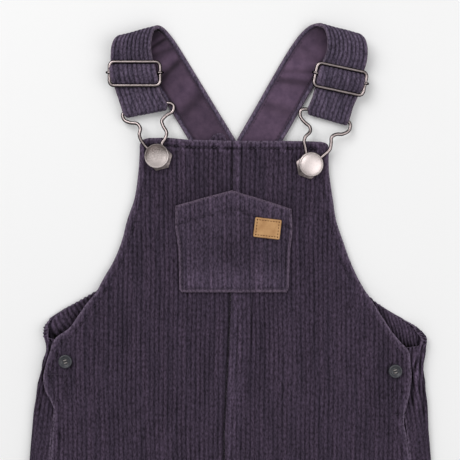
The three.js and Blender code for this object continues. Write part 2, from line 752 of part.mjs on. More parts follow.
// Tack button: a six-sided plate on the cloth, and a domed cap on a shank
function addTack(side) {
  const { x, y } = tackPlaces[side];
  const seat = new THREE.Group();
  seat.position.set(x, y, frontHeight(x, y) + seamGap);
  seat.rotation.y = Math.atan2(frontHeight(x - 1, y) - frontHeight(x + 1, y), 2);
  overalls.add(seat);

  const plate = new THREE.CylinderGeometry(plateRadius, plateRadius, plateWall, 6);
  plate.rotateX(Math.PI / 2);
  plate.translate(0, 0, plateWall / 2);
  const plateMesh = new THREE.Mesh(plate, metal);
  plateMesh.name = `tack_plate_${side}`;
  seat.add(plateMesh);

  const shankFoot = plateWall + seamGap;
  const profile = [
    [0, shankFoot],
    [shankRadius, shankFoot],
    [shankRadius, capUnderside],
    [capRadius - 0.6, capUnderside],
    [capRadius, capUnderside + 0.6],
    [capRadius - 0.5, capUnderside + 1.5],
    [capRadius * 0.7, capUnderside + 2.1],
    [capRadius * 0.35, capUnderside + 2.4],
    [0, capUnderside + 2.5],
  ].map(([radius, height]) => new THREE.Vector2(radius, height));
  const cap = new THREE.LatheGeometry(profile, 20);
  cap.rotateX(Math.PI / 2);
  const capMesh = new THREE.Mesh(geometryOf(solidOf(cap)), metal);
  capMesh.name = `tack_cap_${side}`;
  seat.add(capMesh);
}

// Side button with a rim and four holes
function addButton(side) {
  const { x, y } = buttonPlaces[side];
  const profile = [
    [0, 0],
    [buttonRadius - 1, 0],
    [buttonRadius, 0.8],
    [buttonRadius, buttonWall - 0.6],
    [buttonRadius - 0.7, buttonWall],
    [buttonRadius - 1.5, buttonWall - 0.1],
    [buttonRadius - 2.1, buttonWall - 0.8],
    [0, buttonWall - 0.8],
  ].map(([radius, height]) => new THREE.Vector2(radius, height));
  const disc = new THREE.LatheGeometry(profile, 14);
  disc.rotateX(Math.PI / 2);
  let solid = solidOf(disc);
  for (let hole = 0; hole < 4; hole += 1) {
    const angle = (hole + 0.5) * Math.PI / 2;
    const drill = new THREE.CylinderGeometry(0.55, 0.55, buttonWall * 3, 6);
    drill.rotateX(Math.PI / 2);
    drill.translate(1.3 * Math.cos(angle), 1.3 * Math.sin(angle), 0);
    solid = solid.subtract(solidOf(drill));
  }
  const button = addPiece(`button_${side}`, geometryOf(solid), horn);
  button.position.set(x, y, frontHeight(x, y) + seamGap);
}

for (const side of sides) {
  addFront(side);
  addBack(side);
  addStrap(side);
  addSlider(side);
  addHook(side);
  addTack(side);
  addButton(side);
}
addFacing('side_facing_left', sideFacings.left, gatheredWale, backWall + seamGap, -134, -88);
addFacing('side_facing_right', sideFacings.right, gatheredWale, backWall + seamGap, 84, 134);
addFacing('neck_facing', neckFacing, waleWidth, neckFacingZ, -30, 30);
addPocket();
addLabel();

// The origin is the middle of the footprint, on the surface
const extent = new THREE.Box3().setFromObject(overalls, true);
const middle = extent.getCenter(new THREE.Vector3());
overalls.position.set(-middle.x, -middle.y, -extent.min.z);
overalls.updateMatrixWorld(true);

export default overalls;
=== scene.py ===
# %% [markdown]
# Toddler overalls in wide-wale corduroy, laid flat. The solid model is loaded first, and each
# piece below is dressed in the same frame: metres, +X to the right of the front, +Y up to the
# straps, +Z out of the front. The sizes are written in millimetres from the middle of the bib's
# top edge, as a pattern cutter measures a garment, and moved into the frame by one function.

# %% Load the frame
import math

import bpy
import numpy as np
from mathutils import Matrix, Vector


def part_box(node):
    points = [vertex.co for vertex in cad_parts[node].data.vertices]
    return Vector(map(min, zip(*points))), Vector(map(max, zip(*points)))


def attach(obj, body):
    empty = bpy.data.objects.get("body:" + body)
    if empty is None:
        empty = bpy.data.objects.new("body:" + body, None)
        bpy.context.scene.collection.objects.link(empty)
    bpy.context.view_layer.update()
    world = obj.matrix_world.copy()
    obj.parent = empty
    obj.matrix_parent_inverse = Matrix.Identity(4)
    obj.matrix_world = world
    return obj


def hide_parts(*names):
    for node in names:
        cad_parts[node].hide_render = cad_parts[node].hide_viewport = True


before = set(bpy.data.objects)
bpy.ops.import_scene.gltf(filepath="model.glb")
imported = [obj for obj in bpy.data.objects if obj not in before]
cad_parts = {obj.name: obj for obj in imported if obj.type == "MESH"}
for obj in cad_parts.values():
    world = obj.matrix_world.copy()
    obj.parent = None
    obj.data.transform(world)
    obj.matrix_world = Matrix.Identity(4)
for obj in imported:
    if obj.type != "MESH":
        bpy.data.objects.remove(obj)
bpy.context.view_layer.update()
MM = 0.001
BACK_HIP_X = -151.0     # the left back's widest point, in the cutter's millimetres
HEM_Y = -570.0
bib_middle = np.array([
    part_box("back_left")[0].x - BACK_HIP_X * MM,
    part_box("front_left")[0].y - HEM_Y * MM,
    0.0,
])
print("bib middle in the frame, mm:", (bib_middle / MM).round(1))

# %% [markdown]
# The photograph was taken from straight above, so the camera looks down the Z axis. Its height
# follows from the lens and from the width of cloth that the picture shows.

# %% Camera
PHOTO_SIDE_PX = 460
PX_PER_MM = 1.44
PHOTO_ORIGIN_PX = (234.5, 141.0)    # where the middle of the bib's top edge lies in the picture
CLOTH_HEIGHT_MM = 6.0


def frame_point(x_px, y_px, z_mm=0.0):
    """A pixel of the picture as a point in the frame, in metres."""
    x = (x_px - PHOTO_ORIGIN_PX[0]) / PX_PER_MM
    y = (PHOTO_ORIGIN_PX[1] - y_px) / PX_PER_MM
    return Vector((bib_middle[0] + x * MM, bib_middle[1] + y * MM, z_mm * MM))


camera_data = bpy.data.cameras.new("overhead")
camera_data.lens = 85
camera_data.sensor_width = 36
camera = bpy.data.objects.new("overhead", camera_data)
picture_width = PHOTO_SIDE_PX / PX_PER_MM * MM
camera_height = picture_width * camera_data.lens / camera_data.sensor_width
camera.location = frame_point(PHOTO_SIDE_PX / 2, PHOTO_SIDE_PX / 2, CLOTH_HEIGHT_MM)
camera.location.z += camera_height
bpy.context.collection.objects.link(camera)
bpy.context.scene.camera = camera
print("camera height, m:", round(camera.location.z, 3))

# %% [markdown]
# A catalogue shot on white has a large soft light on one side, a weaker one on the other, and a
# bright surround that fills the shadows. The floor is a pale sheet.

# %% Floor and lights
bpy.context.scene.view_settings.view_transform = "Standard"


def linear(hex_colour):
    """An sRGB colour such as '3B3140' as the linear values that shaders work in."""
    channels = [int(hex_colour[i:i + 2], 16) / 255 for i in (0, 2, 4)]
    straight = [c / 12.92 if c <= 0.04045 else ((c + 0.055) / 1.055) ** 2.4 for c in channels]
    return (*straight, 1.0)


def add_node(tree, kind, settings=None, values=None, links=None):
    """One node with its settings, its sockets' values and the links into it."""
    node = tree.nodes.new(kind)
    for name, value in (settings or {}).items():
        setattr(node, name, value)
    for name, value in (values or {}).items():
        node.inputs[name].default_value = value
    for name, socket in (links or {}).items():
        tree.links.new(socket, node.inputs[name])
    return node


def new_material(name):
    """An empty material with its output node."""
    material = bpy.data.materials.new(name)
    material.use_nodes = True
    material.node_tree.nodes.clear()
    return material, material.node_tree


def finish_material(tree, shader):
    add_node(tree, "ShaderNodeOutputMaterial", links={"Surface": shader.outputs[0]})


def soft_light(name, place, size, watts, aim):
    """A square lamp at a place, turned to a point."""
    data = bpy.data.lights.new(name, "AREA")
    data.shape = "SQUARE"
    data.size = size
    data.energy = watts
    lamp = bpy.data.objects.new(name, data)
    lamp.location = place
    lamp.rotation_euler = (Vector(aim) - Vector(place)).to_track_quat("-Z", "Y").to_euler()
    bpy.context.collection.objects.link(lamp)
    return lamp


def make_floor():
    """A wide pale sheet under the garment."""
    mesh = bpy.data.meshes.new("floor")
    reach = 3.0
    mesh.from_pydata([(-reach, -reach, 0), (reach, -reach, 0), (reach, reach, 0), (-reach, reach, 0)], [], [(0, 1, 2, 3)])
    floor = bpy.data.objects.new("floor", mesh)
    floor.location.z = -0.0004
    bpy.context.collection.objects.link(floor)
    material, tree = new_material("matt_white_paper")
    shader = add_node(tree, "ShaderNodeBsdfPrincipled",
                      values={"Base Color": linear("F4F4F4"), "Roughness": 0.9, "Specular IOR Level": 0.1})
    finish_material(tree, shader)
    mesh.materials.append(material)


make_floor()
chest = frame_point(230, 230)
soft_light("window", (chest.x - 0.75, chest.y + 0.85, 1.25), 1.1, 14.5, chest)
soft_light("bounce", (chest.x + 1.0, chest.y - 0.2, 1.3), 1.4, 9.2, chest)
world = bpy.data.worlds.new("surround")
world.use_nodes = True
world.node_tree.nodes["Background"].inputs["Color"].default_value = (1, 1, 1, 1)
world.node_tree.nodes["Background"].inputs["Strength"].default_value = 0.45
bpy.context.scene.world = world

# %% [markdown]
# Corduroy is a cut-pile cotton: rows of short upright threads, the wales, with bare ground
# between. The pile drinks light along its flanks and glints softly on the crests, and the colour
# paints that: it follows a mark that each piece's mesh carries, wale, 1 on a crest and 0 in a groove,
# with painted shade in the grooves and a painted highlight on the crests. A second mark, edge,
# counts millimetres in from the nearest finished edge, where wear has paled the pile.

# %% Corduroy material
TUFT_MM = 1.05          # pile clumps, drawn half as large again so that they show
CRUSH_MM = 17.0         # patches where washing has laid the pile over
WALE_PITCH_MM = 25.4 / 8


def cotton_corduroy(name, groove, crest, worn, least_ribbed=0.35):
    """Cut-pile cotton, dyed plum and garment-washed."""
    material, tree = new_material(name)
    place = add_node(tree, "ShaderNodeTexCoord")
    wale = add_node(tree, "ShaderNodeAttribute", {"attribute_name": "wale"})
    edge = add_node(tree, "ShaderNodeAttribute", {"attribute_name": "edge"})
    wear_and_shade = add_node(tree, "ShaderNodeAttribute", {"attribute_name": "wear_and_shade"})
    along = add_node(tree, "ShaderNodeMapping", values={"Scale": (1.0, 0.5, 1.0)},
                     links={"Vector": place.outputs["Object"]})
    rows = add_node(tree, "ShaderNodeMapping", values={"Scale": (1.0, 0.05, 0.05)},
                    links={"Vector": place.outputs["Object"]})
    tufts = add_node(tree, "ShaderNodeTexNoise", values={"Scale": 1000 / TUFT_MM, "Detail": 2.0, "Roughness": 0.6},
                     links={"Vector": along.outputs[0]})
    crushed = add_node(tree, "ShaderNodeTexNoise", values={"Scale": 1000 / CRUSH_MM, "Detail": 4.0, "Roughness": 0.65},
                       links={"Vector": along.outputs[0]})
    by_wale = add_node(tree, "ShaderNodeTexNoise", values={"Scale": 1000 / WALE_PITCH_MM, "Detail": 1.0},
                       links={"Vector": rows.outputs[0]})
    standing = add_node(tree, "ShaderNodeMapRange",
                        values={"From Min": 0.38, "From Max": 0.6, "To Min": least_ribbed, "To Max": 1.0},
                        links={"Value": crushed.outputs[0]})
    middle = add_node(tree, "ShaderNodeMath", {"operation": "SUBTRACT"}, {1: 0.5}, {0: wale.outputs["Fac"]})
    ribbed = add_node(tree, "ShaderNodeMath", {"operation": "MULTIPLY_ADD", "use_clamp": True}, {2: 0.5},
                      {0: middle.outputs[0], 1: standing.outputs[0]})
    ramp = add_node(tree, "ShaderNodeValToRGB", links={"Fac": ribbed.outputs[0]})
    ramp.color_ramp.elements[0].position = 0.0
    ramp.color_ramp.elements[0].color = linear(groove)
    ramp.color_ramp.elements[1].position = 0.9
    ramp.color_ramp.elements[1].color = linear(crest)
    light_tufts = add_node(tree, "ShaderNodeMapRange",
                           values={"From Min": 0.3, "From Max": 0.7, "To Min": 0.42, "To Max": 1.58},
                           links={"Value": tufts.outputs[0]})
    light_patches = add_node(tree, "ShaderNodeMapRange",
                             values={"From Min": 0.3, "From Max": 0.7, "To Min": 1.22, "To Max": 0.8},
                             links={"Value": crushed.outputs[0]})
    light_wales = add_node(tree, "ShaderNodeMapRange",
                           values={"From Min": 0.3, "From Max": 0.7, "To Min": 0.8, "To Max": 1.2},
                           links={"Value": by_wale.outputs[0]})
    nap = add_node(tree, "ShaderNodeMath", {"operation": "MULTIPLY"}, None,
                   {0: light_tufts.outputs[0], 1: light_patches.outputs[0]})
    lit = add_node(tree, "ShaderNodeMath", {"operation": "MULTIPLY"}, None,
                   {0: nap.outputs[0], 1: light_wales.outputs[0]})
    # The value rises where a mark says the cloth is worn and falls where that mark paints shade; on some pieces it also
    # paints highlights.
    worn_and_shaded = add_node(tree, "ShaderNodeMath", {"operation": "MULTIPLY_ADD"}, None,
                      {0: lit.outputs[0], 1: wear_and_shade.outputs["Fac"], 2: lit.outputs[0]})
    hue = add_node(tree, "ShaderNodeMapRange",
                   values={"From Min": 0.3, "From Max": 0.7, "To Min": 0.49, "To Max": 0.508},
                   links={"Value": by_wale.outputs[0]})
    dyed = add_node(tree, "ShaderNodeHueSaturation",
                    links={"Color": ramp.outputs[0], "Hue": hue.outputs[0], "Value": worn_and_shaded.outputs[0]})
    wear = add_node(tree, "ShaderNodeMapRange",
                    values={"From Min": 0.6, "From Max": 2.3, "To Min": 1.0, "To Max": 0.0},
                    links={"Value": edge.outputs["Fac"]})
    broken = add_node(tree, "ShaderNodeMapRange",
                      values={"From Min": 0.36, "From Max": 0.66, "To Min": 0.2, "To Max": 1.0},
                      links={"Value": tufts.outputs[0]})
    patchy = add_node(tree, "ShaderNodeMath", {"operation": "MULTIPLY", "use_clamp": True}, None,
                      {0: wear.outputs[0], 1: broken.outputs[0]})
    colour = add_node(tree, "ShaderNodeMix", {"data_type": "RGBA"}, None,
                      {"Factor": patchy.outputs[0], 6: dyed.outputs[0]})
    colour.inputs[7].default_value = linear(worn)
    bump = add_node(tree, "ShaderNodeBump", values={"Strength": 0.7, "Distance": 0.0004},
                    links={"Height": tufts.outputs[0]})
    shader = add_node(tree, "ShaderNodeBsdfPrincipled",
                      values={"Roughness": 0.92, "Specular IOR Level": 0.12, "Sheen Weight": 0.1,
                              "Sheen Roughness": 0.45, "Sheen Tint": linear("B9A6C0")},
                      links={"Base Color": colour.outputs[2], "Normal": bump.outputs[0]})
    finish_material(tree, shader)
    return material


corduroy = cotton_corduroy("plum_corduroy", groove="271F2B", crest="3F3544", worn="6E6074")
pocket_corduroy = cotton_corduroy("plum_corduroy_rubbed", groove="2B2431", crest="483D4D", worn="6D5E6F")
strap_corduroy = cotton_corduroy("plum_corduroy_strap", groove="2D2733", crest="494050", worn="776879", least_ribbed=0.6)
print("corduroy ready")

# %% [markdown]
# The straps are lined with a smooth cotton twill, a little redder than the corduroy. Its diagonal
# ribs are a third of a millimetre wide, too fine to show, so they are drawn twice as coarse.

# %% Twill, leather-look, metal, horn and thread
TWILL_RIB_MM = 0.7


def cotton_twill(name, dark, light):
    """Smooth cotton twill, piece-dyed."""
    material, tree = new_material(name)
    place = add_node(tree, "ShaderNodeTexCoord")
    ribs = add_node(tree, "ShaderNodeTexWave", {"bands_direction": "DIAGONAL"},
                    {"Scale": 1000 / TWILL_RIB_MM / 20.0, "Distortion": 0.6, "Detail": 1.0},
                    {"Vector": place.outputs["Object"]})
    slub = add_node(tree, "ShaderNodeTexNoise", values={"Scale": 120.0, "Detail": 5.0, "Roughness": 0.65},
                    links={"Vector": place.outputs["Object"]})
    ramp = add_node(tree, "ShaderNodeValToRGB", links={"Fac": slub.outputs[0]})
    ramp.color_ramp.elements[0].position = 0.3
    ramp.color_ramp.elements[0].color = linear(dark)
    ramp.color_ramp.elements[1].position = 0.7
    ramp.color_ramp.elements[1].color = linear(light)
    # Painted shade: a mark darkens the lining in the strap's fold, in its creases and along its edges.
    wear_and_shade = add_node(tree, "ShaderNodeAttribute", {"attribute_name": "wear_and_shade"})
    value = add_node(tree, "ShaderNodeMath", {"operation": "ADD"}, {1: 1.0}, {0: wear_and_shade.outputs["Fac"]})
    washed = add_node(tree, "ShaderNodeHueSaturation", links={"Color": ramp.outputs[0], "Value": value.outputs[0]})
    bump = add_node(tree, "ShaderNodeBump", values={"Strength": 0.25, "Distance": 0.0002},
                    links={"Height": ribs.outputs[1]})
    shader = add_node(tree, "ShaderNodeBsdfPrincipled",
                      values={"Roughness": 0.85, "Specular IOR Level": 0.2, "Sheen Weight": 0.1,
                              "Sheen Roughness": 0.4},
                      links={"Base Color": washed.outputs[0], "Normal": bump.outputs[0]})
    finish_material(tree, shader)
    return material


def leather_look(name, dark, light):
    """Coated leather-look patch, embossed with a fine pebble grain."""
    material, tree = new_material(name)
    place = add_node(tree, "ShaderNodeTexCoord")
    grain = add_node(tree, "ShaderNodeTexVoronoi", {"feature": "SMOOTH_F1"}, {"Scale": 1400.0},
                     {"Vector": place.outputs["Object"]})
    blotch = add_node(tree, "ShaderNodeTexNoise", values={"Scale": 160.0, "Detail": 5.0, "Roughness": 0.6},
                      links={"Vector": place.outputs["Object"]})
    ramp = add_node(tree, "ShaderNodeValToRGB", links={"Fac": blotch.outputs[0]})
    ramp.color_ramp.elements[0].position = 0.32
    ramp.color_ramp.elements[0].color = linear(dark)
    ramp.color_ramp.elements[1].position = 0.68
    ramp.color_ramp.elements[1].color = linear(light)
    bump = add_node(tree, "ShaderNodeBump", values={"Strength": 0.3, "Distance": 0.00015},
                    links={"Height": grain.outputs[0]})
    shader = add_node(tree, "ShaderNodeBsdfPrincipled", values={"Roughness": 0.62, "Specular IOR Level": 0.35},
                      links={"Base Color": ramp.outputs[0], "Normal": bump.outputs[0]})
    finish_material(tree, shader)
    return material


def pewter_plating(name, dark, light, roughness, grain_mm):
    """Tumbled wire or sheet with antique nickel plating. The mark crown picks between the dark and the light colour:
    the dark stands for the antiquing's black in the hollows and for painted shade on the sides, and the light, where
    crown is 1, is a painted highlight."""
    material, tree = new_material(name)
    place = add_node(tree, "ShaderNodeTexCoord")
    crown = add_node(tree, "ShaderNodeAttribute", {"attribute_name": "crown"})
    grain = add_node(tree, "ShaderNodeTexNoise",
                     values={"Scale": 1000 / grain_mm, "Detail": 4.0, "Roughness": 0.6},
                     links={"Vector": place.outputs["Object"]})
    uneven = add_node(tree, "ShaderNodeMath", {"operation": "MULTIPLY_ADD"}, {1: 0.7, 2: -0.35}, {0: grain.outputs[0]})
    share = add_node(tree, "ShaderNodeMath", {"operation": "ADD", "use_clamp": True}, None,
                     {0: uneven.outputs[0], 1: crown.outputs["Fac"]})
    ramp = add_node(tree, "ShaderNodeValToRGB", links={"Fac": share.outputs[0]})
    ramp.color_ramp.elements[0].position = 0.22
    ramp.color_ramp.elements[0].color = linear(dark)
    ramp.color_ramp.elements[1].position = 0.95
    ramp.color_ramp.elements[1].color = linear(light)
    bump = add_node(tree, "ShaderNodeBump", values={"Strength": 0.08, "Distance": 0.0001},
                    links={"Height": grain.outputs[0]})
    shader = add_node(tree, "ShaderNodeBsdfPrincipled", values={"Metallic": 1.0, "Roughness": roughness, "Specular Tint": linear("3A3234")},
                      links={"Base Color": ramp.outputs[0], "Normal": bump.outputs[0]})
    finish_material(tree, shader)
    return material


def cast_resin(name, dark, light):
    """Polyester button with a faint horn-like cloud."""
    material, tree = new_material(name)
    place = add_node(tree, "ShaderNodeTexCoord")
    cloud = add_node(tree, "ShaderNodeTexNoise", values={"Scale": 260.0, "Detail": 3.0, "Distortion": 0.8},
                     links={"Vector": place.outputs["Object"]})
    ramp = add_node(tree, "ShaderNodeValToRGB", links={"Fac": cloud.outputs[0]})
    ramp.color_ramp.elements[0].color = linear(dark)
    ramp.color_ramp.elements[1].color = linear(light)
    shader = add_node(tree, "ShaderNodeBsdfPrincipled", values={"Roughness": 0.38},
                      links={"Base Color": ramp.outputs[0]})
    finish_material(tree, shader)
    return material


def spun_thread(name, hex_colour):
    """Spun polyester sewing thread."""
    material, tree = new_material(name)
    place = add_node(tree, "ShaderNodeTexCoord")
    fuzz = add_node(tree, "ShaderNodeTexNoise", values={"Scale": 1500.0, "Detail": 2.0},
                    links={"Vector": place.outputs["Object"]})
    bump = add_node(tree, "ShaderNodeBump", values={"Strength": 0.3, "Distance": 0.0001},
                    links={"Height": fuzz.outputs[0]})
    shader = add_node(tree, "ShaderNodeBsdfPrincipled",
                      values={"Base Color": linear(hex_colour), "Roughness": 0.7, "Specular IOR Level": 0.25},
                      links={"Normal": bump.outputs[0]})
    finish_material(tree, shader)
    return material


twill = cotton_twill("plum_twill", dark="46374A", light="5F4B60")
patch_leather = leather_look("tan_patch", dark="A87C50", light="C39868")
wire_metal = pewter_plating("pewter_wire", dark="1A1517", light="B9ABAA", roughness=0.28, grain_mm=2.2)
# Painted reflection: the two caps take a lighter and a darker copy of one plating.
lit_cap_plating = pewter_plating("cap_plating_lit", dark="857B79", light="E8DCDA", roughness=0.44, grain_mm=0.9)
shaded_cap_plating = pewter_plating("cap_plating_shaded", dark="544C4A", light="DDD2CF", roughness=0.46, grain_mm=0.9)
CAP_METALS = {"left": shaded_cap_plating, "right": lit_cap_plating}
button_resin = cast_resin("grey_horn_resin", dark="232428", light="43444A")
plum_thread = spun_thread("plum_thread", "3F3644")
label_thread = spun_thread("brown_thread", "5A3A1E")
button_thread = spun_thread("grey_thread", "8B8684")
print("materials ready")

# %% [markdown]
# Every cloth piece is a wall between an outer and an inner grid of points. Where the outline
# cuts a grid, its points are pulled back to the edge, and points that land on each other are
# merged, so the wales stay straight and the edge stays clean.

# %% Cloth walls
WALE_MM = 25.4 / 8
WALE_DEPTH_MM = 0.6
COLUMNS_PER_WALE = 6


def rows_of(table):
    """A table read from the top down, as arrays that rise."""
    return np.array(table, float)[::-1]


def smooth_read(table, heights, column):
    """A table's column at any height, on a smooth curve through its rows."""
    y = table[:, 0]
    value = table[:, column]
    slope = np.gradient(value, y)
    heights = np.clip(heights, y[0], y[-1])
    k = np.clip(np.searchsorted(y, heights) - 1, 0, len(y) - 2)
    span = y[k + 1] - y[k]
    t = (heights - y[k]) / span
    h00 = 2 * t**3 - 3 * t**2 + 1
    h10 = t**3 - 2 * t**2 + t
    h01 = -2 * t**3 + 3 * t**2
    h11 = t**3 - t**2
    return h00 * value[k] + h10 * span * slope[k] + h01 * value[k + 1] + h11 * span * slope[k + 1]


def ease(value, low, high):
    """0 below low, 1 above high, smooth between."""
    t = np.clip((value - low) / (high - low), 0, 1)
    return t * t * (3 - 2 * t)


def groove_share(distance_mm, pitch=WALE_MM):
    """0 on a wale's crest, 1 in the groove beside it."""
    phase = distance_mm / pitch - np.round(distance_mm / pitch)
    return 1 - np.cos(np.pi * phase) ** 0.8


def edge_distance(x, y, line):
    """Millimetres from each grid point to the nearest point of a dense line."""
    flat = np.stack([x.ravel(), y.ravel()], 1)
    nearest = np.full(len(flat), 99.0)
    for start in range(0, len(flat), 8000):
        part = flat[start:start + 8000]
        gap = part[:, None, :] - line[None, :, :]
        nearest[start:start + 8000] = np.sqrt((gap**2).sum(2).min(1))
    return nearest.reshape(x.shape)


def dense(line, step=1.2):
    """A polyline with points every step millimetres."""
    line = np.array(line, float)
    reach = np.concatenate([[0], np.cumsum(np.linalg.norm(np.diff(line, axis=0), axis=1))])
    places = np.arange(0, reach[-1], step)
    return np.stack([np.interp(places, reach, line[:, k]) for k in range(line.shape[1])], 1)


def to_frame(points_mm):
    return np.asarray(points_mm, float) * MM + bib_middle


def put_mesh(name, points, triangles, marks, material):
    """A mesh object from arrays, at the origin, smooth apart from its sharp corners."""
    mesh = bpy.data.meshes.new(name)
    mesh.vertices.add(len(points))
    mesh.vertices.foreach_set("co", np.asarray(points, np.float32).ravel())
    mesh.loops.add(len(triangles) * 3)
    mesh.loops.foreach_set("vertex_index", np.asarray(triangles, np.int32).ravel())
    mesh.polygons.add(len(triangles))
    mesh.polygons.foreach_set("loop_start", np.arange(0, len(triangles) * 3, 3, dtype=np.int32))
    mesh.update(calc_edges=True)
    mesh.validate()
    for mark, values in marks.items():
        layer = mesh.attributes.new(mark, "FLOAT", "POINT")
        layer.data.foreach_set("value", np.asarray(values, np.float32).ravel())
    mesh.shade_smooth()
    mesh.set_sharp_from_angle(angle=math.radians(62))
    mesh.materials.append(material)
    piece = bpy.data.objects.new(name, mesh)
    bpy.context.collection.objects.link(piece)
    return piece


def wall_between(name, outer, inner, marks, material):
    """A closed wall between two grids of the same rows and columns, in cutter's millimetres."""
    rows, columns = outer.shape[:2]
    top = np.arange(rows * columns).reshape(rows, columns)
    low = top + rows * columns
    quads = [
        (top[:-1, :-1], top[:-1, 1:], top[1:, 1:], top[1:, :-1]),
        (low[:-1, :-1], low[1:, :-1], low[1:, 1:], low[:-1, 1:]),
        (low[0, :-1], low[0, 1:], top[0, 1:], top[0, :-1]),
        (low[-1, 1:], low[-1, :-1], top[-1, :-1], top[-1, 1:]),
        (low[1:, 0], low[:-1, 0], top[:-1, 0], top[1:, 0]),
        (low[:-1, -1], low[1:, -1], top[1:, -1], top[:-1, -1]),
    ]
    corners = np.concatenate([np.stack([c.ravel() for c in quad], 1) for quad in quads])
    triangles = np.concatenate([corners[:, [0, 1, 2]], corners[:, [0, 2, 3]]])
    points = np.concatenate([outer.reshape(-1, 3), inner.reshape(-1, 3)])
    keys, first, same = np.unique(np.round(points, 3), axis=0, return_index=True, return_inverse=True)
    triangles = same.ravel()[triangles]
    whole = (triangles[:, 0] != triangles[:, 1]) & (triangles[:, 1] != triangles[:, 2]) & (triangles[:, 2] != triangles[:, 0])
    triangles = triangles[whole]
    points = points[first]
    a, b, c = (points[triangles[:, k]] for k in range(3))
    if np.einsum("ij,ij->i", a, np.cross(b, c)).sum() < 0:
        triangles = triangles[:, ::-1]
    doubled = {mark: np.concatenate([values.ravel(), values.ravel()])[first] for mark, values in marks.items()}
    piece = put_mesh(name, to_frame(points), triangles, doubled, material)
    print(name, len(triangles), "triangles")
    return piece


# %% [markdown]
# The outlines were measured from the picture down to its lower edge. Below that the garment is
# finished to its size: the hips, the crotch and two straight legs.

# %% Outlines and heights
FRONT_EDGES = rows_of([      # y, left edge, right edge
    (-3, -66.0, 65.6), (-20, -66.9, 65.8), (-41, -70.0, 68.6), (-55, -74.8, 70.8),
    (-69, -78.4, 75.4), (-83, -84.0, 80.4), (-97, -92.0, 86.8), (-105, -96.2, 91.4),
    (-112, -102.0, 96.0), (-121.5, -108.6, 102.0), (-130.5, -115.4, 107.8), (-136, -123.4, 112.0),
    (-139.5, -125.8, 115.0), (-144, -127.2, 119.6), (-153.5, -130.2, 121.8), (-165, -132.4, 122.5),
    (-173, -131.0, 121.6), (-185, -125.4, 119.0), (-192, -125.6, 117.6), (-208, -127.0, 120.2),
    (-262, -131.0, 125.0), (-330, -135.6, 130.0), (-420, -134.2, 128.6), (-500, -131.0, 125.4),
    (-570, -127.0, 121.4),
])
BACK_EDGES = rows_of([       # y, left edge, right edge
    (-2, -36.0, 38.0), (-18, -40.0, 42.0), (-40, -50.0, 51.0), (-66, -66.0, 63.0),
    (-90, -84.0, 80.0), (-103.5, -95.8, 90.0), (-111, -108.5, 97.6), (-118, -121.6, 108.4),
    (-123.4, -129.0, 117.2), (-128.8, -132.0, 126.0), (-136, -133.0, 134.0), (-144, -131.8, 133.4),
    (-157, -134.4, 132.6), (-170, -137.6, 133.4), (-182, -139.4, 134.4), (-208, -141.8, 136.0),
    (-262, -146.6, 140.6), (-330, -151.0, 145.0), (-420, -149.5, 143.5), (-500, -146.0, 140.0),
    (-570, -141.5, 135.5),
])
INNER_EDGES = rows_of([      # y, the left piece's inner edge, the right piece's
    (20, -1.45, -1.15), (-34, -1.75, -1.45), (-107, -2.85, -2.55), (-143, -4.15, -3.85),
    (-204, -7.35, -7.05), (-262, -6.55, -6.25), (-329, -4.2, -3.9), (-337, -8.6, 0.6),
    (-352, -14.0, 6.0), (-400, -19.0, 11.0), (-480, -22.5, 14.6), (-570, -24.0, 17.0),
])
BIB_TOP = np.array([         # x, y
    (-66.0, -2.6), (-65.0, -0.2), (-63.0, 1.4), (-60, 2.2), (-46, 2.3), (-32, 0.8), (0, 0.0), (45, 0.0),
    (60, -0.4), (63.4, -1.2), (65.0, -2.4), (65.6, -4.2),
])
SIDE_LIFT = rows_of([        # y, how far the front's edge is lifted
    (-70, 0), (-90, 1.6), (-104, 3.4), (-122, 4.8), (-140, 5.4), (-164, 5.0), (-192, 4.4),
    (-208, 1.2), (-330, 0.9), (-570, 0.6),
])
SIDE_FOLD = rows_of([        # y, height of the fold, where the return ends on the left, on the right
    (-124, 6.6, -120, 113), (-140, 6.6, -121, 114), (-164, 6.2, -122, 115.5), (-186, 5.8, -122.5, 115.5),
    (-191, 5.6, -125.9, 118.1), (-208, 5.4, -127.3, 120.5), (-262, 5.3, -131.3, 125.3),
    (-330, 5.1, -135.9, 130.3), (-420, 5.0, -134.5, 128.9), (-500, 4.9, -131.3, 125.7),
    (-570, 4.8, -127.3, 121.7),
])
FRONT_REST_MM = 4.2
NECK_RISE_MM = 4.2
FRONT_WALL_MM = 2.2
BACK_WALL_MM = 1.6
GARMENT_CENTRE_X = -3.0
SIDES = {"left": 1, "right": 2}


def straight_read(table, heights, column):
    return np.interp(heights, table[:, 0], table[:, column])


def front_height(x, y):
    """The height of the front's crests over the surface, in millimetres."""
    neck = NECK_RISE_MM * ease(y, -62, -24) * (1 - np.clip((np.abs(x) - 30) / 42, 0, 1))
    outward = ease(np.abs(x - GARMENT_CENTRE_X), 78, 104)
    return FRONT_REST_MM + neck + outward * straight_read(SIDE_LIFT, y, 1)


def band_height(x, y):
    """The lapped centre seam: narrow above the pocket, a wide mock fly below it."""
    across = x - straight_read(INNER_EDGES, y, 2)
    width = np.where(y > -70, 6.0, 15.0)
    return 0.8 * ease(across, -0.2, 0.5) * (1 - ease(across, width - 0.6, width + 0.3))


def cloth_wave(x, y):
    """The slow unevenness of cloth that was smoothed out by hand."""
    return 0.28 * np.sin(x / 19 + y / 41) * np.sin(y / 33 - x / 57 + 0.8) + 0.12 * np.sin(x / 7.3 + y / 29 + 2.0)


def wale_drift(x, y):
    """How far the wales wander sideways."""
    return 0.45 * np.sin(y / 27 + x / 38) + 0.22 * np.sin(y / 10.5 + x / 16 + 1.3)


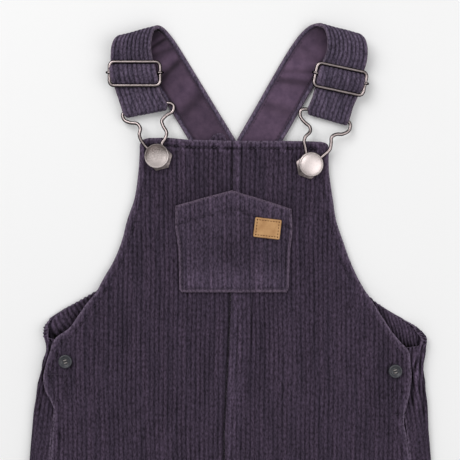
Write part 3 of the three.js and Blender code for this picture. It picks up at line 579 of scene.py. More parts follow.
POCKET_LEFT = rows_of([(-44.9, -41.0), (-59.0, -41.3), (-76.0, -39.0), (-90.0, -38.6), (-103.0, -38.5), (-105.4, -36.4)])
POCKET_RIGHT = rows_of([(-47.2, 39.6), (-61.8, 40.4), (-79.0, 38.6), (-90.0, 38.1), (-102.6, 37.8), (-104.9, 36.2)])
POCKET_TOP = np.array([(-41.0, -44.9), (-20.0, -39.0), (-1.6, -34.3), (19.0, -40.4), (39.8, -47.2)])
POCKET_WALL_MM = 1.6
POCKET_HEM_MM = 13.0


def pocket_outline():
    heights = np.linspace(-105, -46, 60)
    left = np.stack([straight_read(POCKET_LEFT, heights, 1), heights], 1)
    right = np.stack([straight_read(POCKET_RIGHT, heights, 1), heights], 1)[::-1]
    return dense(np.concatenate([left, POCKET_TOP, right, left[:1]]), 0.8)


def nap(x, y):
    """Tufts that stand or lie, as a small height at each grid point. It repeats nowhere near by."""
    spread = np.sin(np.round(x, 2) * 12.9898 + np.round(y, 2) * 78.233) * 43758.5453
    return (spread - np.floor(spread) - 0.5) * 0.07


print("outlines ready")

# %% [markdown]
# The fronts run in one length from the bib to the hem. Their armhole edges are turned and
# stitched, so each edge rolls down over about a millimetre and a half, stands a little proud
# inside the stitching, and puckers beside it.

# %% Fronts
TURN_MM = 5.2           # how far in the edge stitching runs
ROLL_MM = 1.7
cloth_rows = np.concatenate([np.arange(-570, -212, 4.0), np.arange(-212, 2.5, 1.9), [2.4]])


def edge_relief(edge, along, pull):
    """Height added near a turned edge: its roll, and the stitched channel with its puckers."""
    inside = np.clip(1 - edge / ROLL_MM, 0, 1)
    roll = -1.4 * (1 - np.sqrt(1 - inside**2))
    blobs = 0.55 + 0.45 * np.sin(along * 2 * np.pi / 2.9)
    ridge = (0.3 + 0.9 * pull * blobs) * np.exp(-((edge - TURN_MM * 0.6) / 1.2) ** 2)
    channel = -(0.3 + 0.4 * pull) * np.exp(-((edge - TURN_MM) / 0.75) ** 2) * (0.75 + 0.25 * np.sin(along / 0.9))
    below = 0.75 * pull * blobs * np.exp(-((edge - TURN_MM - 1.9) / 1.0) ** 2)
    pucker = 0.45 * (0.4 + pull) * np.sin(along / 1.5) * np.sin(along / 6.3 + 0.6) * np.exp(-((edge - 4.5) / 4.0) ** 2)
    return roll, ridge + channel + below + pucker


def front_outline(side):
    """The front's free edge, from the hem up the side and the armhole to the middle of the bib."""
    column = SIDES[side]
    heights = np.linspace(-570, -3, 420)
    edge = np.stack([smooth_read(FRONT_EDGES, heights, column), heights], 1)
    top = BIB_TOP if side == "left" else BIB_TOP[::-1]
    half = top[top[:, 0] < 0] if side == "left" else top[top[:, 0] > 0]
    return dense(np.concatenate([edge, half, [[-1.3, 0.0]]]))


def front_grid(side):
    """The front's grid cut to its outline, and a mark on the points that the cut moved."""
    column = SIDES[side]
    span = (-137.0, 0.0) if side == "left" else (-9.0, 130.0)
    step = WALE_MM / COLUMNS_PER_WALE
    lines = np.arange(round(span[0] / step), round(span[1] / step) + 1) * step
    wale_x, y = np.meshgrid(lines, cloth_rows)

    def cut(x, y):
        outer = smooth_read(FRONT_EDGES, y, column)
        inner = straight_read(INNER_EDGES, y, column)
        low, high = (outer, inner) if side == "left" else (inner, outer)
        return np.clip(x, low, high), (x <= low) | (x >= high)

    x, moved = cut(wale_x + wale_drift(wale_x, y), y)
    y = y + (np.interp(x, BIB_TOP[:, 0], BIB_TOP[:, 1]) - cloth_rows[-1]) * ease(y, -30, cloth_rows[-1])
    x, moved_again = cut(x, y)
    return wale_x, x, y, moved | moved_again


def seam_relief(side, x, y):
    """The centre seam's groove, and the stitched channels of its lap on the right."""
    across = x - straight_read(INNER_EDGES, y, 2)
    if side == "left":
        return -0.7 * np.exp(-((across + 0.2) / 0.8) ** 2)
    narrow = y > -70
    width = np.where(narrow, 6.0, 15.0)
    second = np.where(narrow, 4.8, 5.6)
    first_share = np.where(narrow, 1.0, 0.3)
    rows = first_share * np.exp(-((across - 1.5) / 0.6) ** 2) + np.exp(-((across - second) / 0.6) ** 2)
    step = np.exp(-((across - width - 0.2) / 0.7) ** 2) * (0.15 + 0.4 * ease(y, -190, -110))
    pucker = 0.3 * np.sin(y / 1.3 + across) * np.exp(-((across - 3.2) / 2.2) ** 2) * narrow
    ruck = 0.35 * np.sin(y * 2.9 + across * 0.9) * np.sin(y / 5.3 + 1) * np.exp(-((across - 4.0) / 3.2) ** 2) * (1 - narrow)
    start = -0.5 * np.clip(1 - across / 0.7, 0, 1) ** 2
    return start - 0.4 * rows - step + pucker + ruck


def seam_wear_and_shade(side, x, y):
    """Where rubbing on the raised seams has lifted the colour, and painted shade in the seam's groove."""
    across = x - straight_read(INNER_EDGES, y, 2)
    gap = -(0.35 + 0.2 * ease(-y, 60, 110)) * np.exp(-((across + 0.5) / 1.2) ** 2)
    if side == "left":
        return gap
    upper = 0.55 * (y > -70) * ease(across, 0.4, 1.2) * (1 - ease(across, 5.0, 7.0))
    lower = 0.5 * (y <= -70) * ease(across, 0.3, 1.0) * np.exp(-(across / 9.5) ** 2)
    return gap + upper + lower


def painted_pocket_shadow(x, y):
    """Painted shadow on the front beside the raised pocket, wider above it."""
    shade = np.zeros_like(x)
    near = (y > -112) & (y < -28) & (np.abs(x) < 50)
    points = x[near][:, None], y[near][:, None]
    distance = edge_distance(*points, pocket_outline())
    above = 1.5 * ease(points[1], -60, -40)
    shade[near] = (-0.28 * np.exp(-distance / (1.4 + above)))[:, 0]
    return shade


PLACKET_LINES = {        # x, y of both ends, depth, half width
    "left": [(-129.0, -161.8, -117.0, -161.8, 0.6, 0.7), (-117.0, -161.8, -117.0, -182.0, 0.5, 0.8)],
    "right": [(109.0, -189.5, 118.0, -189.5, 0.6, 0.7), (109.5, -166.0, 109.0, -189.0, 0.4, 0.7)],
}


FRONT_CREASES = {        # the same, for the folds that lie over the cloth
    "left": [(-110.0, -122.0, -92.0, -146.0, 0.6, 3.0), (-118.0, -168.0, -90.0, -176.0, 0.5, 2.6),
             (-96.0, -196.0, -60.0, -188.0, 0.4, 3.4), (-58.0, -22.0, -48.0, -48.0, 0.4, 3.2)],
    "right": [(101.0, -116.0, 86.0, -142.0, 0.6, 3.0), (112.0, -172.0, 88.0, -184.0, 0.5, 2.6),
              (92.0, -64.0, 74.0, -84.0, 0.5, 2.8), (52.0, -30.0, 44.0, -56.0, 0.4, 3.2)],
}


def creases_at(lines, x, y):
    """Soft troughs along straight lines, as a depth at each point."""
    depth = np.zeros_like(x)
    for x0, y0, x1, y1, deep, half in lines:
        length = math.hypot(x1 - x0, y1 - y0)
        along = ((x - x0) * (x1 - x0) + (y - y0) * (y1 - y0)) / length
        away = ((x - x0) * (y1 - y0) - (y - y0) * (x1 - x0)) / length
        fade = ease(along, -3, 4) * (1 - ease(along, length - 4, length + 3))
        depth += deep * np.exp(-(away / half) ** 2) * fade
    return depth


def front_surface(side, x, y, groove, outline):
    """The outer height of the front, with its marks."""
    edge = edge_distance(x, y, outline)
    seam = np.abs(x - straight_read(INNER_EDGES, y, SIDES[side]))
    at_top = ease(y, -18, -7)
    roll, sewn = edge_relief(edge, x * 0.9 + y * 0.7, 0.3 + (0.9 if side == "left" else 0.6) * at_top)
    sewn = sewn + seam_relief(side, x, y) - creases_at(PLACKET_LINES[side], x, y)
    fold = creases_at(FRONT_CREASES[side], x, y)
    lap = band_height(x, y) if side == "right" else 0
    inland = ease(np.minimum(edge, seam), 0.2, 2)
    crest = front_height(x, y) + lap + (cloth_wave(x, y) - fold) * ease(edge, 0, 12) + roll + sewn + nap(x, y) * inland
    flattened = 1 - 0.7 * at_top * np.exp(-((edge - 2.4) / 2.2) ** 2)
    if side == "right":
        flattened = flattened * (1 - 0.6 * np.exp(-((seam - 4.5) / 3.6) ** 2))
    rib = WALE_DEPTH_MM * groove * ease(np.minimum(edge, seam + 0.3), 0.3, 1.6) * flattened
    # The third mark carries the seams' wear and painted light: shadow beside the pocket, shade in the stitched channels
    # and the creases, highlights on the stitched ridges.
    wear_and_shade = seam_wear_and_shade(side, x, y) + painted_pocket_shadow(x, y) + (0.75 + 0.3 * at_top) * np.clip(sewn, -0.8, 0.9) - 0.2 * fold
    return crest - rib, np.minimum(edge, seam + 1.6), wear_and_shade


fronts = {}
front_lines = {}
for side in SIDES:
    outline = front_outline(side)
    wale_x, x, y, moved = front_grid(side)
    groove = np.where(moved, 0, groove_share(wale_x))
    height, edge, wear_and_shade = front_surface(side, x, y, groove, outline)
    outer = np.stack([x, y, height], 2)
    inner = np.stack([x, y, front_height(x, y) - FRONT_WALL_MM], 2)
    fronts[side] = wall_between(f"front_cloth_{side}", outer, inner, {"wale": 1 - groove, "edge": edge, "wear_and_shade": wear_and_shade}, corduroy)
    front_lines[side] = outline
    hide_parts(f"front_{side}")
    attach(fronts[side], "root")

# %% [markdown]
# Each back is wider than the front: it lies flat on the surface, folds round the side and comes
# back over it to the side seam. One run of wales follows it all the way, so the grid's columns
# count millimetres of cloth from the centre back seam.

# %% Backs
CURL_TOP_Y = -124.0
CURL_OVER_Y = -131.0     # where the rim has come right over
CURL_FULL_Y = {"left": -136.5, "right": -142.0}     # where the return starts
LIP_MM = {"left": 0.3, "right": 1.8}
CURL_HEIGHT_MM = 7.0
RETURN_CREASES = {       # x, y of both ends, depth (a ridge where negative), half width
    "left": [(-130.9, -136.0, -129.5, -142.0, -0.7, 0.9), (-127.4, -138.2, -128.8, -150.7, 0.9, 0.8),
             (-130.2, -141.7, -132.3, -155.6, -0.6, 0.9), (-131.6, -145.0, -134.4, -166.0, 0.8, 0.8),
             (-133.5, -156.0, -132.2, -178.0, 0.7, 0.9), (-136.4, -164.0, -135.0, -188.0, 0.6, 0.9)],
    "right": [(128.0, -144.6, 123.6, -155.6, -0.9, 1.0), (129.0, -146.0, 125.3, -166.8, -0.9, 0.7),
              (128.4, -148.0, 124.2, -161.0, 0.9, 0.8), (123.4, -157.0, 123.8, -184.0, 0.9, 1.2),
              (131.4, -146.0, 129.8, -170.0, -0.6, 0.8), (129.6, -150.0, 128.0, -176.0, 0.9, 0.7),
              (127.2, -160.0, 127.4, -186.0, -0.6, 0.8), (132.0, -160.0, 131.6, -190.0, 0.8, 0.8)],
}
COIL_MM = 2.3            # one gather of the elastic rim
COIL_SHADE = {"left": 0.95, "right": 0.8}
TUCK_MM = 0.8            # how far the back's edge lies inside the facing's, along the armhole


back_rows = np.concatenate([np.arange(-570, -212, 5.0), np.arange(-212, -146, 2.2), np.arange(-146, -123, 0.5),
                            np.arange(-123, -2.0, 2.4), [-2.0]])


def back_path(side, y, cloth):
    """A point of the back's outer face: y, and how far it lies from the centre back seam."""
    column = SIDES[side]
    sign = -1 if side == "left" else 1
    centre = straight_read(INNER_EDGES, y, column)
    edge = np.abs(smooth_read(BACK_EDGES, y, column) - centre)
    radius = np.where(y < CURL_TOP_Y, straight_read(SIDE_FOLD, y, 1) / 2, 0.01)
    end = np.abs(straight_read(SIDE_FOLD, y, column + 1) - centre)
    flat = edge - radius
    arc = np.pi * radius
    full_y = CURL_FULL_Y[side]
    rim = BACK_WALL_MM + (CURL_TOP_Y - y) / (CURL_TOP_Y - CURL_OVER_Y) * (CURL_HEIGHT_MM - BACK_WALL_MM)
    rising = np.arccos(np.clip(1 - rim / np.maximum(radius, 0.01), -1, 1)) * radius
    lip = LIP_MM[side] * ease(-y, -CURL_OVER_Y - 3, -CURL_OVER_Y + 3)
    whole = flat + arc + LIP_MM[side] + (flat - end - LIP_MM[side]) * ease(-y, -full_y, -full_y + 2.5)
    tucked = edge - TUCK_MM * ease(-y, 100, 106) * (1 - ease(-y, -CURL_TOP_Y - 5, -CURL_TOP_Y))
    limit = np.where(y >= CURL_TOP_Y, tucked, np.where(y > full_y, flat + rising + lip, whole))
    run = np.minimum(cloth, limit)
    angle = np.clip((run - flat) / np.maximum(radius, 0.01), 0, np.pi)
    past = np.clip(run - flat - arc, 0, None)
    return run, flat, radius, angle, past, centre, sign, limit


def back_grid(side, y, cloth, inset):
    """Points at a depth under the back's outer face."""
    run, flat, radius, angle, past, centre, sign, _ = back_path(side, y, cloth)
    reach = radius - inset
    on_arc = np.minimum(run, flat)
    across = np.where(run <= flat, run, flat + reach * np.sin(angle) - past)
    across = np.where(y >= CURL_TOP_Y, run, across)
    height = np.where((run <= flat) | (y >= CURL_TOP_Y), inset, radius - reach * np.cos(angle))
    return np.stack([centre + sign * across, y, np.maximum(height, 0.0)], -1), on_arc


backs = {}
for side in SIDES:
    flat_step = WALE_MM / 3
    fine_step = WALE_MM / COLUMNS_PER_WALE
    cloth_lines = np.concatenate([np.arange(0, 108, flat_step), np.arange(108, 172, fine_step)])
    cloth, y = np.meshgrid(cloth_lines, back_rows)
    run, flat, radius, angle, past, centre, sign, limit = back_path(side, y, cloth)
    groove = np.where(cloth >= limit, 0, groove_share(cloth))
    rim = limit - run
    roll = 0.55 * np.clip(1 - rim / 1.5, 0, 1) ** 2
    near_opening = np.exp(-((y + 152) / 26) ** 2) * ease(run, 90, 118)
    crumple = 0.5 * np.sin(run / 2.6 + y / 11) * np.sin(y / 6.1 + run / 9) + 0.3 * np.sin(y / 3.4 - run / 5)
    inset = 0.5 * groove * ease(rim, 0.2, 1.5) + roll + (crumple + 0.25) * near_opening * ease(rim, 0, 3)
    inset = np.clip(inset + nap(run, y) * ease(rim, 0.2, 2) * ease(run, 90, 110), -0.55, BACK_WALL_MM - 0.35)
    inset = np.where(run < flat, np.maximum(inset, 0), inset)
    plain, _ = back_grid(side, y, cloth, np.zeros_like(y))
    upper = (run > flat + math.pi / 2 * radius) & (y < CURL_TOP_Y)
    crease = creases_at(RETURN_CREASES[side], plain[..., 0], y) * upper
    rim_gap = np.where(y > CURL_FULL_Y[side], rim, CURL_FULL_Y[side] - y + np.clip(flat + math.pi * radius - run, 0, None))
    around = np.where(y > CURL_FULL_Y[side], 0.35 * run - y, run)
    coil = 0.5 + 0.5 * np.sin(around * 2 * np.pi / COIL_MM)
    wide = np.where(y > CURL_FULL_Y[side], 2.6, 1.4)
    bead = np.exp(-((rim_gap - 0.3 - wide) / wide) ** 2) * (run > flat) * (y < CURL_TOP_Y)
    near_upper = ease(-y, 118, 130) * (1 - ease(-y, 186, 204)) * ease(run, flat + radius, flat + 2 * radius)
    inset = inset + 0.3 * groove * near_upper + crease - (0.1 + 0.9 * coil) * bead
    inset = np.clip(inset, -1.1, BACK_WALL_MM - 0.25)
    beside = np.abs(plain[..., 0]) - np.abs(smooth_read(FRONT_EDGES, y, SIDES[side]))
    # Painted shade beside the front's edge, in the crumples and in the grooves near the opening; painted highlight and
    # shade on the creases and the rim's gathers.
    lit_crease = -0.9 * np.clip(crease, 0, None) - 1.6 * np.clip(crease, None, 0)
    shade = np.where(upper, -0.25 * np.exp(-np.abs(beside) / 1.2) + lit_crease - 0.35 * crumple * near_opening, 0)
    shade = shade + (2.1 * coil - COIL_SHADE[side]) * bead - 0.5 * (groove - 0.35) * near_upper
    outer, _ = back_grid(side, y, cloth, inset)
    inner, _ = back_grid(side, y, cloth, np.full_like(y, BACK_WALL_MM))
    marks = {"wale": 1 - groove, "edge": rim + 0.5, "wear_and_shade": shade}
    backs[side] = wall_between(f"back_cloth_{side}", outer, inner, marks, corduroy)
    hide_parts(f"back_{side}")
    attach(backs[side], "root")

# %% [markdown]
# Inside each back's armhole lies a corduroy facing, drawn together by the elastic in the edge,
# so its wales crowd and buckle. A smaller facing finishes the neck, over the straps' ends.

# %% Facings
GATHERED_WALE_MM = 2.9
FACING_WALL_MM = 1.4
SIDE_FACING_SPAN = {"left": (-128.2, -91.0), "right": (87.0, 128.4)}
SIDE_FACING_TOP = {          # x, y along the armhole edge
    "left": np.array([(-128.2, -128.5), (-126.2, -123.4), (-120.4, -118.0), (-108.5, -111.4), (-96.0, -104.2), (-91.0, -104.0)]),
    "right": np.array([(87.0, -103.4), (90.2, -104.2), (97.6, -111.6), (107.4, -118.4), (114.6, -123.4), (123.0, -129.2), (128.4, -134.0)]),
}
SIDE_FACING_FOOT = {
    "left": np.array([(-128.2, -150.0), (-117.0, -150.0), (-106.0, -127.0), (-91.0, -106.0)]),
    "right": np.array([(87.0, -105.0), (98.0, -125.0), (111.0, -152.0), (128.4, -152.0)]),
}


FACING_LEAN = {"left": 0.35, "right": 0.3}
OPENING_RIM = {"left": [(-134, -134), (-124, -137)], "right": [(113, -144.5), (131, -142.5)]}


def painted_facing_shade(side, x, y):
    """Painted shade on the facing, deep behind the front's edge and under the return's rim, over a lighter base."""
    behind = edge_distance(x, y, front_lines[side])
    under = edge_distance(x, y, dense(OPENING_RIM[side]))
    return 0.3 - 1.05 * np.exp(-behind / 5.0) - 0.8 * np.exp(-under / 3.5)


def make_side_facing(side):
    low, high = SIDE_FACING_SPAN[side]
    lines = np.arange(low, high, GATHERED_WALE_MM / COLUMNS_PER_WALE)
    share, x = np.meshgrid(np.linspace(0, 1, 26), lines, indexing="ij")
    share, x = share.reshape(26, -1), x.reshape(26, -1)
    share = np.linspace(0, 1, 26)[:, None] * np.ones_like(lines)[None, :]
    x = np.ones((26, 1)) * lines[None, :]
    top = np.interp(x, SIDE_FACING_TOP[side][:, 0], SIDE_FACING_TOP[side][:, 1])
    foot = np.interp(x, SIDE_FACING_FOOT[side][:, 0], SIDE_FACING_FOOT[side][:, 1])
    y = foot + (top - foot) * share
    drop = top - y
    wander = 0.8 * np.sin(drop / 6 + x / 5) * ease(drop, 1, 10) - FACING_LEAN[side] * drop
    groove = groove_share(x + wander, GATHERED_WALE_MM)
    buckle = 0.55 * np.sin(x / 2.2 + drop / 7) * np.sin(drop / 5 + x / 3.1) + nap(x, y)
    y = y + (0.5 - 1.1 * groove) * np.exp(-drop / 1.5)
    roll = -1.0 * np.clip(1 - drop / 1.6, 0, 1) ** 2
    base = BACK_WALL_MM + 0.3
    height = base + FACING_WALL_MM + 0.25 + roll + buckle * ease(drop, 0, 4) - 1.0 * groove * ease(drop, 0.2, 1.4)
    outer = np.stack([x, y, np.maximum(height, base + 0.3)], 2)
    inner = np.stack([x, y, np.full_like(x, base)], 2)
    # The third mark also paints shade in the gathered grooves.
    piece = wall_between(f"side_facing_cloth_{side}", outer, inner, {"wale": 1 - groove, "edge": drop + 1.2, "wear_and_shade": painted_facing_shade(side, x, y) - 1.0 * (groove - 0.45)}, corduroy)
    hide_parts(f"side_facing_{side}")
    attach(piece, "root")
    return piece


NECK_FACING_TOP = np.array([   # x, y
    (-26.5, -8), (-26, -3), (-18, 0.5), (-14.4, 4.4), (-11.5, 5.5), (-9, 5.6), (-6.8, 4.2), (-4.6, -1.5), (0, -4),
    (24, -3.4), (26.5, -8),
])
NECK_FACING_Z = 4.8


def make_neck_facing():
    lines = np.arange(-26.5, 26.6, WALE_MM / COLUMNS_PER_WALE)
    share = np.linspace(0, 1, 14)[:, None] * np.ones_like(lines)[None, :]
    x = np.ones((14, 1)) * lines[None, :]
    top = np.interp(x, NECK_FACING_TOP[:, 0], NECK_FACING_TOP[:, 1])
    y = -18 + (top + 18) * share
    line = dense(NECK_FACING_TOP, 0.5)
    edge = edge_distance(x, y, line)
    groove = groove_share(x)
    roll = -0.8 * np.clip(1 - edge / 1.5, 0, 1) ** 2
    height = NECK_FACING_Z + 1.3 + roll - 0.5 * groove * ease(edge, 0.2, 1.5)
    outer = np.stack([x, y, height], 2)
    inner = np.stack([x, y, np.full_like(x, NECK_FACING_Z)], 2)
    piece = wall_between("neck_facing_cloth", outer, inner, {"wale": 1 - groove, "edge": edge + 0.8}, corduroy)
    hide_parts("neck_facing")
    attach(piece, "root")
    return piece


side_facings = {side: make_side_facing(side) for side in SIDES}
neck_facing = make_neck_facing()

# %% [markdown]
# The pocket is a pointed patch with its own wales. It follows the front's heights, moved out,
# and its turned edges have rubbed paler than the rest. A hem crosses it under the point.

# %% Pocket
def make_pocket():
    step = WALE_MM / COLUMNS_PER_WALE
    lines = np.arange(round(-43 / step), round(43 / step) + 1) * step
    share = np.linspace(0, 1, 56)[:, None] * np.ones_like(lines)[None, :]
    column = np.ones((56, 1)) * lines[None, :]
    top = np.interp(column, POCKET_TOP[:, 0], POCKET_TOP[:, 1])
    y = -105.2 + (top + 105.2) * share
    low, high = straight_read(POCKET_LEFT, y, 1), straight_read(POCKET_RIGHT, y, 1)
    x = np.clip(column + 0.5 * wale_drift(column, y), low, high)
    line = pocket_outline()
    edge = edge_distance(x, y, line)
    groove = np.where((x <= low) | (x >= high), 0, groove_share(column + 0.5))
    base = front_height(x, y) + band_height(x, y) + 0.3
    hem = top - y
    roll = -1.2 * np.clip(1 - edge / 1.5, 0, 1) ** 2
    sewn = -0.5 * np.exp(-((edge - 2.7) / 0.7) ** 2) * ease(hem, 3.5, 5)
    ridge = 0.3 * np.exp(-((edge - 1.5) / 0.8) ** 2)
    ruck = 0.35 * np.sin((x + y) / 1.6) * np.sin(x / 5.2 + 1) * np.exp(-((hem - POCKET_HEM_MM - 1) / 3.2) ** 2)
    turned = 0.35 * (1 - ease(hem, POCKET_HEM_MM - 0.6, POCKET_HEM_MM + 0.6))
    channel = -0.5 * np.exp(-((hem - POCKET_HEM_MM) / 0.7) ** 2)
    mouth = 0.9 * np.exp(-((hem - 1) / 8) ** 2) * ease(edge, 0, 1.5)
    slub = 0.3 * np.sin(x / 11 + 1.0) * np.sin(y / 9.5)
    relief = roll + sewn + ridge + ruck + turned + channel + mouth + (slub + nap(column, y)) * ease(edge, 0.3, 3)
    height = base + POCKET_WALL_MM + 0.1 + relief - 0.55 * groove * ease(edge, 0.2, 1.6)
    outer = np.stack([x, y, height], 2)
    inner = np.stack([x, y, base], 2)
    # Lighter towards the bottom and darker across the middle.
    lighter_low = 0.26 * np.exp(-((y + 97) / 10) ** 2)
    darker_middle = -0.2 * np.exp(-((y + 76) / 16) ** 2) * ease(np.abs(x), 34, 20)
    # Painted shade in the stitched channel and the rucks, and painted highlights on the ridges and the raised opening.
    wear_and_shade = lighter_low + darker_middle + 0.3 * sewn + 0.6 * np.clip(sewn + ruck + channel + 0.4 * mouth, -0.6, 0.5)
    marks = {"wale": 1 - groove, "edge": edge, "wear_and_shade": wear_and_shade}
    piece = wall_between("pocket_cloth", outer, inner, marks, pocket_corduroy)
    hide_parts("pocket")
    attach(piece, "root")
    return piece


pocket = make_pocket()


def pocket_height(x, y):
    """The pocket's outer face, for what is sewn on it."""
    return front_height(x, y) + band_height(x, y) + 0.3 + POCKET_WALL_MM

# %% [markdown]
# A strap is a long tube of corduroy with a twill lining inside. Its route is a smooth curve
# through the sewn end, the fold, the slider and the hook's bar, and at each point a section
# lies across it.

# %% Strap routes
STRAP_WIDTH_MM = 28.0
STRAP_WALL_MM = 1.4
LINING_WIDTH_MM = 22.0
LINING_WALL_MM = 0.9
SLIDER_FRAME_Z = 7.9
CROSSBAR_DROP_MM = 1.75
HOOK_BAR_Z = 4.0
STRAP_TURN_MM = 2.0
LOOP_SLACK_MM = 1.2
STRAP_PATHS = {     # x, y, z, turn of the section in degrees, share of the wale depth
    "left": [
        (-3.0, -19.8, 2.6, 31, 0), (-14.4, -1.0, 2.6, 31, 0), (-24.8, 16.1, 1.8, 31, 0),
        (-38.3, 38.4, 0.75, 31, 0), (-50.3, 58.0, 0.8, 30, 0), (-57.0, 67.9, 2.0, 25, 0.4),
        (-62.0, 73.6, 4.8, 20, 1), (-65.6, 75.4, 8.0, 16, 1), (-68.8, 73.4, 10.7, 13, 1),
        (-70.8, 68.2, 11.4, 9, 1), (-71.6, 61.6, 8.9, 4, 1), (-70.8, 54.9, 5.3, 0, 1),
        (-69.9, 50.7, 8.0, 0, 1), (-69.1, 46.5, 9.8, 0, 1), (-68.2, 42.3, 8.0, 0, 1),
        (-67.3, 38.1, 5.3, 0, 1), (-65.2, 31.0, 6.4, 6, 1),
    ],
    "right": [
        (5.7, -19.8, 2.6, -30, 0), (16.7, -0.7, 2.6, -30, 0), (26.4, 16.1, 1.8, -30, 0),
        (39.0, 38.4, 0.75, -30, 0), (52.0, 60.0, 0.8, -31, 0), (60.0, 70.4, 2.0, -27, 0.4),
        (66.4, 75.8, 4.8, -20, 1), (71.6, 77.0, 8.0, -15, 1), (75.4, 74.0, 10.7, -13, 1),
        (77.4, 68.0, 11.4, -12, 1), (77.6, 60.0, 8.9, -12, 1), (75.0, 50.9, 5.3, -12, 1),
        (74.0, 46.8, 8.0, -12, 1), (73.0, 42.7, 9.8, -12, 1), (71.8, 38.6, 8.0, -12, 1),
        (70.6, 34.5, 5.3, -12, 1), (68.2, 27.0, 6.4, -14, 1),
    ],
}
LOOP_TURNS = {"left": (-61.8, 22.9, 11), "right": (65.8, 18.6, -16)}
STRAP_ENDS = {
    "left": [(-64.4, 31.0, 2.8, 6, 0), (-67.0, 38.1, 3.6, 0, 0)],
    "right": [(68.4, 27.0, 2.8, -14, 0), (70.8, 34.5, 3.6, -12, 0)],
}
SLIDER_PLACES = {"left": (-69.1, 46.5, 0), "right": (73.2, 42.7, -12)}


def turn_rows(bar, bar_z, towards, reach):
    """Rows of a half turn round a bar, as five places on half an ellipse."""
    x, y, turn = bar
    angle = math.radians(turn)
    rows = []
    for step in range(5):
        around = step * math.pi / 4
        bulge = reach * math.sin(around)
        rise = math.cos(around) if towards < 0 else -math.cos(around)
        wales = 1 - step / 4 if towards < 0 else 0
        rows.append((x - math.sin(angle) * towards * bulge, y + math.cos(angle) * towards * bulge,
                     bar_z + STRAP_TURN_MM * rise, turn, wales))
    return rows


def strap_rows(side):
    return np.array([
        *STRAP_PATHS[side],
        *turn_rows(LOOP_TURNS[side], HOOK_BAR_Z, -1, STRAP_TURN_MM + LOOP_SLACK_MM),
        *STRAP_ENDS[side],
        *turn_rows(SLIDER_PLACES[side], SLIDER_FRAME_Z - CROSSBAR_DROP_MM, 1, STRAP_TURN_MM),
    ], float)


def smooth_route(points, places):
    """Points on a centripetal curve through the given ones, at places counted in rows."""
    padded = np.vstack([2 * points[0] - points[1], points, 2 * points[-1] - points[-2]])
    found = []
    for place in places:
        k = min(int(place), len(points) - 2)
        t = place - k
        p0, p1, p2, p3 = padded[k:k + 4]
        d0, d1, d2 = (max(float(((b - a) ** 2).sum()) ** 0.25, 1e-4) for a, b in ((p0, p1), (p1, p2), (p2, p3)))
        t1 = ((p1 - p0) / d0 - (p2 - p0) / (d0 + d1) + (p2 - p1) / d1) * d1
        t2 = ((p2 - p1) / d1 - (p3 - p1) / (d1 + d2) + (p3 - p2) / d2) * d1
        found.append(p1 + t1 * t + (-3 * p1 + 3 * p2 - 2 * t1 - t2) * t**2 + (2 * p1 - 2 * p2 + t1 + t2) * t**3)
    return np.array(found)


def strap_sections(side, places):
    """Centre, width direction, outward direction and wale share at each place."""
    rows = strap_rows(side)
    centre = smooth_route(rows[:, :3], places)
    ahead = smooth_route(rows[:, :3], np.clip(places + 0.02, 0, len(rows) - 1))
    behind = smooth_route(rows[:, :3], np.clip(places - 0.02, 0, len(rows) - 1))
    along = ahead - behind
    along /= np.linalg.norm(along, axis=1, keepdims=True)
    turn = np.radians(np.interp(places, np.arange(len(rows)), rows[:, 3]))
    across = np.stack([np.cos(turn), np.sin(turn), np.zeros_like(turn)], 1)
    outward = np.cross(along, across)
    outward /= np.linalg.norm(outward, axis=1, keepdims=True)
    wales = np.interp(places, np.arange(len(rows)), rows[:, 4])
    return centre, across, outward, wales


STRAP_WIDTHS = {         # row, width
    "left": np.array([(0, 28), (10, 28), (11, 30), (12, 32.6), (13, 32.4), (14, 33.0), (15, 31), (16, 30.2),
                      (17, 31.8), (18, 30), (19, 28.4), (20, 27.6), (40, 27.6)]),
    "right": np.array([(0, 28), (10, 28.6), (11, 30), (12, 32.4), (13, 32.6), (14, 32.2), (15, 30.6), (16, 29.2),
                       (17, 30.2), (18, 29), (19, 28), (20, 27.6), (40, 27.6)]),
}
STRAP_SHIFTS = {         # row, how far the strap lies off its route, to the right
    "left": np.array([(0, 0), (10, 0), (11, -0.3), (12, -1.0), (14.5, -1.0), (16, -0.4), (17, -0.4), (19, 0), (40, 0)]),
    "right": np.array([(0, 0), (11, 0.3), (12, 0.8), (14, 0.8), (15, 0.4), (16, 0), (17, -0.6), (18, -0.3), (19, 0), (40, 0)]),
}
LINING_CREASES = {       # row, depth, width in rows, slant in rows per millimetre
    "left": [(3.55, 0.5, 0.10, 0.010), (4.3, 0.2, 0.14, -0.014), (4.85, 0.35, 0.12, 0.012), (2.4, 0.3, 0.16, 0.01)],
    "right": [(3.15, 0.6, 0.10, 0.016), (3.45, 0.5, 0.09, 0.02), (4.1, 0.15, 0.14, -0.012), (2.3, 0.3, 0.16, 0.01)],
}


def lining_crease(side, places, sideways):
    """Soft folds across the lining, as a depth at each row and each width."""
    row, wide = np.meshgrid(places, sideways, indexing="ij")
    depth = np.zeros_like(row)
    for place, deep, spread, slant in LINING_CREASES[side]:
        depth += deep * np.exp(-((row - place - slant * wide) / spread) ** 2)
        depth -= 0.6 * deep * np.exp(-((row - place - slant * wide - 2.2 * spread) / (1.5 * spread)) ** 2)
    return depth


STRAP_LAST = {side: len(strap_rows(side)) - 1 for side in SIDES}
print("strap rows:", STRAP_LAST)

# %% [markdown]
# The corduroy turns in over the strap's edges and shows as a narrow rim on the lining's side.

# %% Straps and linings
FIRST_SHOWN_ROW = 0.55    # the two straps meet there under the bib
STRAP_WALES = 10
MIDDLE_LIMIT_MM = {"left": 1.5, "right": 1.8}


